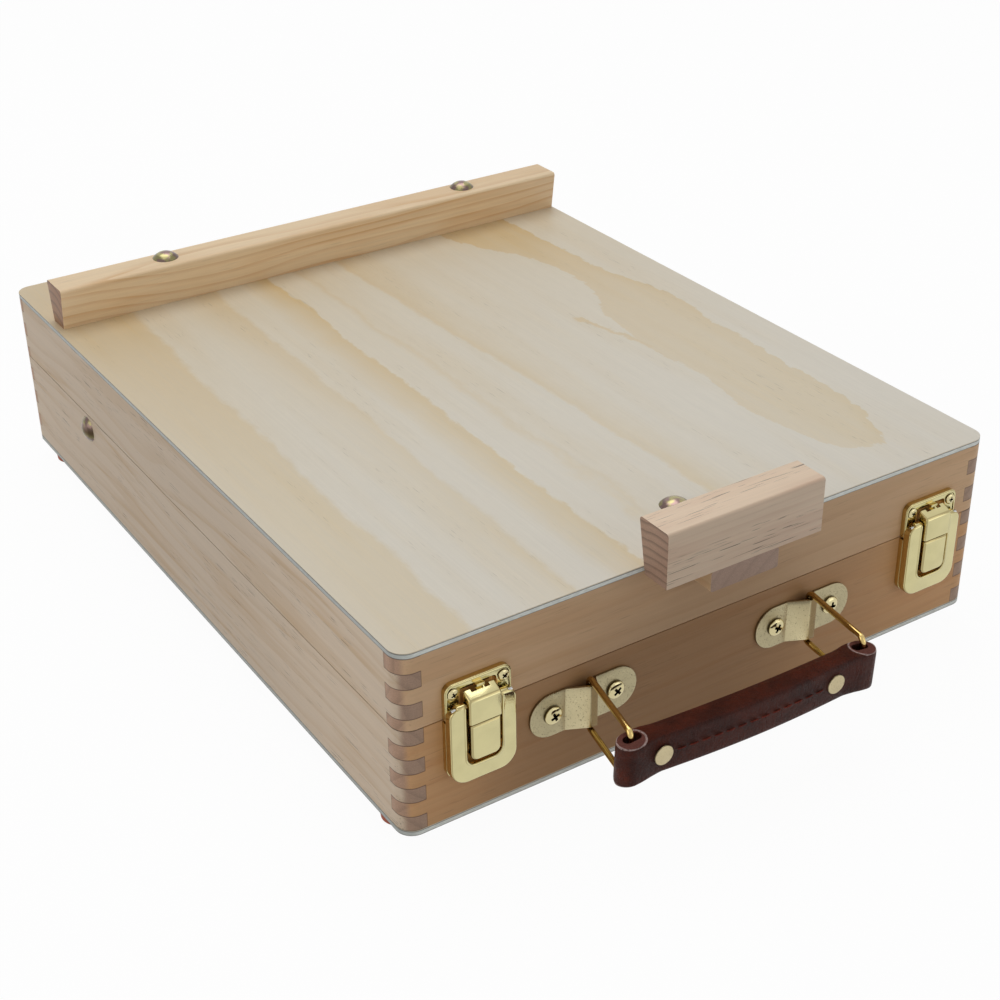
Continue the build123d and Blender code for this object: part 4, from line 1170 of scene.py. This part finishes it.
# %% The rolled rims
rim_radius, rim_inset = 0.55 * mm, 0.75 * mm


def bead(points):
    """A round bead along a line of points."""
    curve = bpy.data.curves.new("bead", "CURVE")
    curve.dimensions = "3D"
    curve.bevel_depth = rim_radius
    curve.bevel_resolution = 5
    spline = curve.splines.new("POLY")
    spline.points.add(len(points) - 1)
    for target, point in zip(spline.points, points):
        target.co = (*point, 1)
    made = bpy.data.objects.new("bead", curve)
    bpy.context.scene.collection.objects.link(made)
    only(made)
    bpy.ops.object.convert(target="MESH")
    smooth(60)


def u_path(centre_x, y, half, end_z, far_z, radius):
    """A U in the plane of the front: up one side, round two corners, and back, all in metres."""
    away = 1 if far_z > end_z else -1
    path = [Vector((centre_x - half, y, end_z))]
    for sign in (-1, 1):
        middle = Vector((centre_x + sign * (half - radius), y, far_z - away * radius))
        for step in range(9):
            turn = (step if sign < 0 else 8 - step) * math.pi / 16
            path.append(middle + Vector((sign * radius * math.cos(turn), 0, away * radius * math.sin(turn))))
    path.append(Vector((centre_x + half, y, end_z)))
    return path


for side in ("left", "right"):
    low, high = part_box(f"latch_keeper_{side}")
    middle_x, half = (low.x + high.x) / 2, (high.x - low.x) / 2
    rim_y = latch_plate_y + 0.1 * mm
    half -= rim_inset
    bead(u_path(middle_x, rim_y, half, low.z + 0.4 * mm, high.z - rim_inset, 3.4 * mm))
    finish(f"latch_keeper_rim_{side}", "lid", "latch_brass", latch_plate)
    low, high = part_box(f"latch_base_{side}")
    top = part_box(f"latch_keeper_{side}")[0].z - 1.6 * mm
    bead(u_path(middle_x, rim_y, half, top, low.z + rim_inset, 4.4 * mm))
    finish(f"latch_base_rim_{side}", "tray", "latch_brass", latch_plate)


# %% [markdown]
# ## The latch's lever
# The lever is pressed from one piece of sheet: a flat U with its outer edge turned back, a raised lip
# round its opening, and two arms whose tops curl back over the pin.  A grid does this well: one of its
# directions runs along the U, the other goes across it, over the turned edge, the flat and the lip.
# Past the top of each arm the rows are wound round the pin.

# %% Make the levers
sheet_thick, curl_radius, curl_turn = 0.7, 1.9, math.radians(108)
shoulder, shoulder_start = 4.4, 3.0
arm_share, corner_share, bottom_share = 1.0, 0.45, 0.2
curl_share = 0.14
lever_rows, turned_rows = 14, 6


def u_point(along, half, corner, low, top):
    """A point of a U, in mm: along is 0 at the middle of its bottom, and 1 and -1 at its two tops."""
    out = min(abs(along), 1)
    if out <= bottom_share:
        x, z = out / bottom_share * (half - corner), low
    elif out <= corner_share:
        turn = (out - bottom_share) / (corner_share - bottom_share) * math.pi / 2
        x, z = half - corner + corner * math.sin(turn), low + corner - corner * math.cos(turn)
    else:
        x, z = half, low + corner + (out - corner_share) / (arm_share - corner_share) * (top - low - corner)
    return math.copysign(x, along), z


def make_lever(side):
    low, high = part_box(f"latch_lever_{side}")
    half, pivot_z = (high.x - low.x) / 2 / mm, (high.z - low.z) / mm - curl_radius
    back = (high.y - low.y) / mm
    section = [
        (0, back), (0, back - 0.7), (0, 1.1), (0.08, 0.65), (0.3, 0.3), (0.65, 0.08), (1.1, 0.0),
        (-1.7, 0.0), (-1.3, -0.1), (-1.0, -0.36), (-0.65, -0.5), (-0.3, -0.38), (-0.06, -0.02),
        (0, 0.5), (0, 1.3),
    ]
    deselect()
    bpy.ops.mesh.primitive_grid_add(x_subdivisions=150, y_subdivisions=lever_rows, size=2)

    def pressed(p):
        along = p.x * (1 + curl_share)
        row = round((p.y + 1) / 2 * lever_rows)
        inset, y = section[row]
        outer_x, outer_z = u_point(along, half, 7.6, 0, pivot_z)
        inner_x, inner_z = u_point(along, 8.0, 3.9, 8.2, pivot_z)
        width = math.hypot(outer_x - inner_x, outer_z - inner_z)
        share = (width + inset if row > turned_rows else inset) / width
        past = max(abs(along) - 1, 0) / curl_share
        turn = past * curl_turn
        if y < 0:
            y *= 1 - ease(0.0, 0.35, past)
        risen = outer_z - pivot_z + shoulder_start + curl_radius * turn if abs(along) > corner_share else 0
        risen = min(max(risen, 0), shoulder * 0.97)
        share += (1 - share) * (shoulder - math.sqrt(shoulder**2 - risen**2)) / width
        x = outer_x + (inner_x - outer_x) * share
        z = outer_z + (inner_z - outer_z) * share
        ahead = curl_radius - y
        return Vector((x, curl_radius - ahead * math.cos(turn), z + ahead * math.sin(turn))) * mm

    nudge(pressed)
    made = active()
    outward = sum(face.normal.y * face.area for face in made.data.polygons) < 0
    modify("SOLIDIFY", thickness=sheet_thick * mm, offset=-1 if outward else 1)
    made.data.transform(Matrix.Translation(((low.x + high.x) / 2, low.y, low.z)))
    smooth(45)
    node = f"latch_lever_{side}"
    return finish(f"pressed_lever_{side}", node, "latch_brass", latch_plate, node)


for side in ("left", "right"):
    make_lever(side)


# %% [markdown]
# ## The latch's tongue
# The tongue is a hollow cap of sheet whose top slopes down to a round nose.  A block of its size is opened
# at the back and below, the front edge of its top is lowered, its nose and then its sides are rounded with
# bevels, and the shell gets its thickness.  Two notches are cut in its top, and leave a tab between them.

# %% Make the tongues
nose_drop, nose_radius, side_radius, shell = 2.3, 1.3, 1.0, 0.9
notch_apart, notch_width, notch_depth = 3.0, 2.4, 2.2


def make_tongue(side):
    low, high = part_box(f"latch_tongue_{side}")
    size, middle = high - low, (low + high) / 2
    deselect()
    bpy.ops.mesh.primitive_cube_add(size=1, location=middle, scale=size)
    place_applied()
    pick("FACE", lambda centre, normal: normal.y > 0.9 or normal.z < -0.9)
    bpy.ops.mesh.delete(type="FACE")
    pick("VERT", lambda place: place.y < middle.y and place.z > middle.z)
    bpy.ops.transform.translate(value=(0, 0, -nose_drop * mm))

    def on_nose(centre, direction):
        return abs(direction.x) > 0.9 and centre.y < middle.y and centre.z > middle.z

    pick("EDGE", on_nose)
    bpy.ops.mesh.bevel(offset=nose_radius * mm, segments=6)

    def on_side(centre, direction):
        edge = abs(abs(centre.x - middle.x) - size.x / 2) < 0.01 * mm and abs(direction.x) < 0.1
        return edge and centre.y < high.y - 0.1 * mm and centre.z > low.z + 0.1 * mm

    pick("EDGE", on_side)
    bpy.ops.mesh.bevel(offset=side_radius * mm, segments=4)
    relief = Vector((0, low.y + 1.6 * mm, low.z - 1 * mm))
    slope = Vector((0, 4.4 * mm, 8 * mm)).normalized()
    bpy.ops.mesh.select_all(action="SELECT")
    bpy.ops.mesh.bisect(plane_co=relief, plane_no=(0, slope.z, -slope.y), clear_outer=True)
    object_mode()
    modify("SOLIDIFY", thickness=shell * mm, offset=-1)
    made = active()
    cutters = []
    for sign in (-1, 1):
        deselect()
        where = (middle.x + sign * notch_apart * mm, high.y - 0.2 * mm, high.z)
        notch = (notch_width * mm, notch_depth * mm, 4 * mm)
        bpy.ops.mesh.primitive_cube_add(size=1, location=where, scale=notch)
        place_applied()
        cutters.append(active())
    cut(made, cutters)
    smooth(40)
    node = f"latch_tongue_{side}"
    return finish(f"tongue_{side}", node, "latch_brass", latch_plate, node)


for side in ("left", "right"):
    make_tongue(side)


# %% [markdown]
# ## Planed wood with eased edges
# The ledge, the clamp's block and its bar were run over with sandpaper, so their edges catch a thin line
# of light.

# %% Ease the edges of the loose wooden bars
for node, body, slot, paint, width in (
    ("canvas_ledge", "lid", "ledge", ledge_pine, 0.7),
    ("clamp_block", "clamp", "slide", block_pine, 0.6),
    ("clamp_bar", "clamp", "slide", bar_pine, 0.3),
):
    softened(node, width * mm)
    finish(f"eased_{node}", body, slot, paint, node)


# %% [markdown]
# ## The bails
# Each bail is one piece of thick wire bent into a ring.  The solid already has that shape, so its facets
# are only smoothed over.

# %% Smooth the wires
for side in ("left", "right"):
    node = f"bail_{side}"
    softened(node, 0)
    finish(f"wire_{side}", node, "wire_brass", wire_plate, node)


# %% [markdown]
# ## Floor
# The floor is plain and pale.  It glows by itself only where the camera or a reflection looks at it, so
# the picture has a white ground with a faint shadow on it.

# %% Floor
floor_below, floor_glow, floor_grey = 0.0002, 0.96, (0.86, 0.86, 0.86, 1)


def seen(tree):
    """1 where the camera or a reflection looks, and 0 for the light that falls on things."""
    path = tree.nodes.new("ShaderNodeLightPath")
    either = tree.nodes.new("ShaderNodeMath")
    either.operation = "MAXIMUM"
    tree.links.new(path.outputs["Is Camera Ray"], either.inputs[0])
    tree.links.new(path.outputs["Is Glossy Ray"], either.inputs[1])
    return either.outputs[0]


def floor():
    deselect()
    bpy.ops.mesh.primitive_plane_add(size=30, location=(0, 0, -floor_below))
    made = active()
    made.name = "floor"
    material = bpy.data.materials.new("floor_white")
    material.use_nodes = True
    tree = material.node_tree
    tree.nodes.clear()
    add, link = tree.nodes.new, tree.links.new
    output, mixed, share = add("ShaderNodeOutputMaterial"), add("ShaderNodeMixShader"), add("ShaderNodeMath")
    glow, matte = add("ShaderNodeEmission"), add("ShaderNodeBsdfDiffuse")
    matte.inputs["Color"].default_value = floor_grey
    share.operation = "MULTIPLY"
    share.inputs[1].default_value = floor_glow
    link(seen(tree), share.inputs[0])
    link(share.outputs[0], mixed.inputs[0])
    link(matte.outputs[0], mixed.inputs[1])
    link(glow.outputs[0], mixed.inputs[2])
    link(mixed.outputs[0], output.inputs[0])
    made.data.materials.append(material)


floor()


# %% [markdown]
# ## Lamps and backdrop
# Broad lamps give soft light: one overhead, one like a window on the left, and a weak one on the front
# right.  The backdrop is white where it is seen, and dim in the light that it sends out.

# %% Lamps and backdrop
def lamp(name, place, target, size, power):
    light = bpy.data.lights.new(name, "AREA")
    light.size = size
    light.energy = power
    made = bpy.data.objects.new(name, light)
    bpy.context.scene.collection.objects.link(made)
    made.location = place
    made.rotation_euler = (Vector(target) - Vector(place)).to_track_quat("-Z", "Y").to_euler()
    print("lamp", name, power, "W")


centre = (0, 0, 0.06)
lamp("overhead", (0.1, 0.5, 1.9), centre, 1.6, 17)
lamp("left_window", (-1.7, 0.1, 0.8), centre, 1.2, 7)
lamp("front_fill", (0.9, -1.6, 0.7), centre, 1.2, 3.5)

world = bpy.data.worlds.new("studio")
bpy.context.scene.world = world
world.use_nodes = True
tree = world.node_tree
background = tree.nodes["Background"]
level = tree.nodes.new("ShaderNodeMapRange")
level.inputs["To Min"].default_value = 0.3  # in the light it sends out
level.inputs["To Max"].default_value = 1.0  # where it is seen
tree.links.new(seen(tree), level.inputs["Value"])
tree.links.new(level.outputs["Result"], background.inputs["Strength"])
background.inputs["Color"].default_value = (1, 1, 1, 1)
bpy.context.scene.view_settings.view_transform = "Standard"

# %% [markdown]
# ## Camera
# The camera stands on the front left, about 30 degrees up, and looks at a point inside the case, left of
# its middle.  Its three axes are worked out from its angles, and rolled a little about the line of sight.

# %% Camera
azimuth, elevation, roll = math.radians(-32.476), math.radians(30.423), math.radians(-0.865)
distance = 0.81672
aim = Vector((left_face + 126.97 * mm, front_face + 126.90 * mm, case_bottom + 51.6 * mm))
back = Vector((
    math.sin(azimuth) * math.cos(elevation), -math.cos(azimuth) * math.cos(elevation), math.sin(elevation),
))
right = (-back).cross(Vector((0, 0, 1))).normalized()
up = right.cross(-back)
tilted_right = right * math.cos(roll) + up * math.sin(roll)
tilted_up = up * math.cos(roll) - right * math.sin(roll)
camera = bpy.data.objects.new("camera", bpy.data.cameras.new("camera"))
bpy.context.scene.collection.objects.link(camera)
camera.data.lens = 63.5
camera.data.sensor_width = 36
camera.matrix_world = Matrix.Translation(aim + back * distance) @ Matrix((
    (tilted_right.x, tilted_up.x, back.x, 0),
    (tilted_right.y, tilted_up.y, back.y, 0),
    (tilted_right.z, tilted_up.z, back.z, 0),
    (0, 0, 0, 1),
))
bpy.context.scene.camera = camera
print("camera at", [round(number, 3) for number in camera.matrix_world.translation])
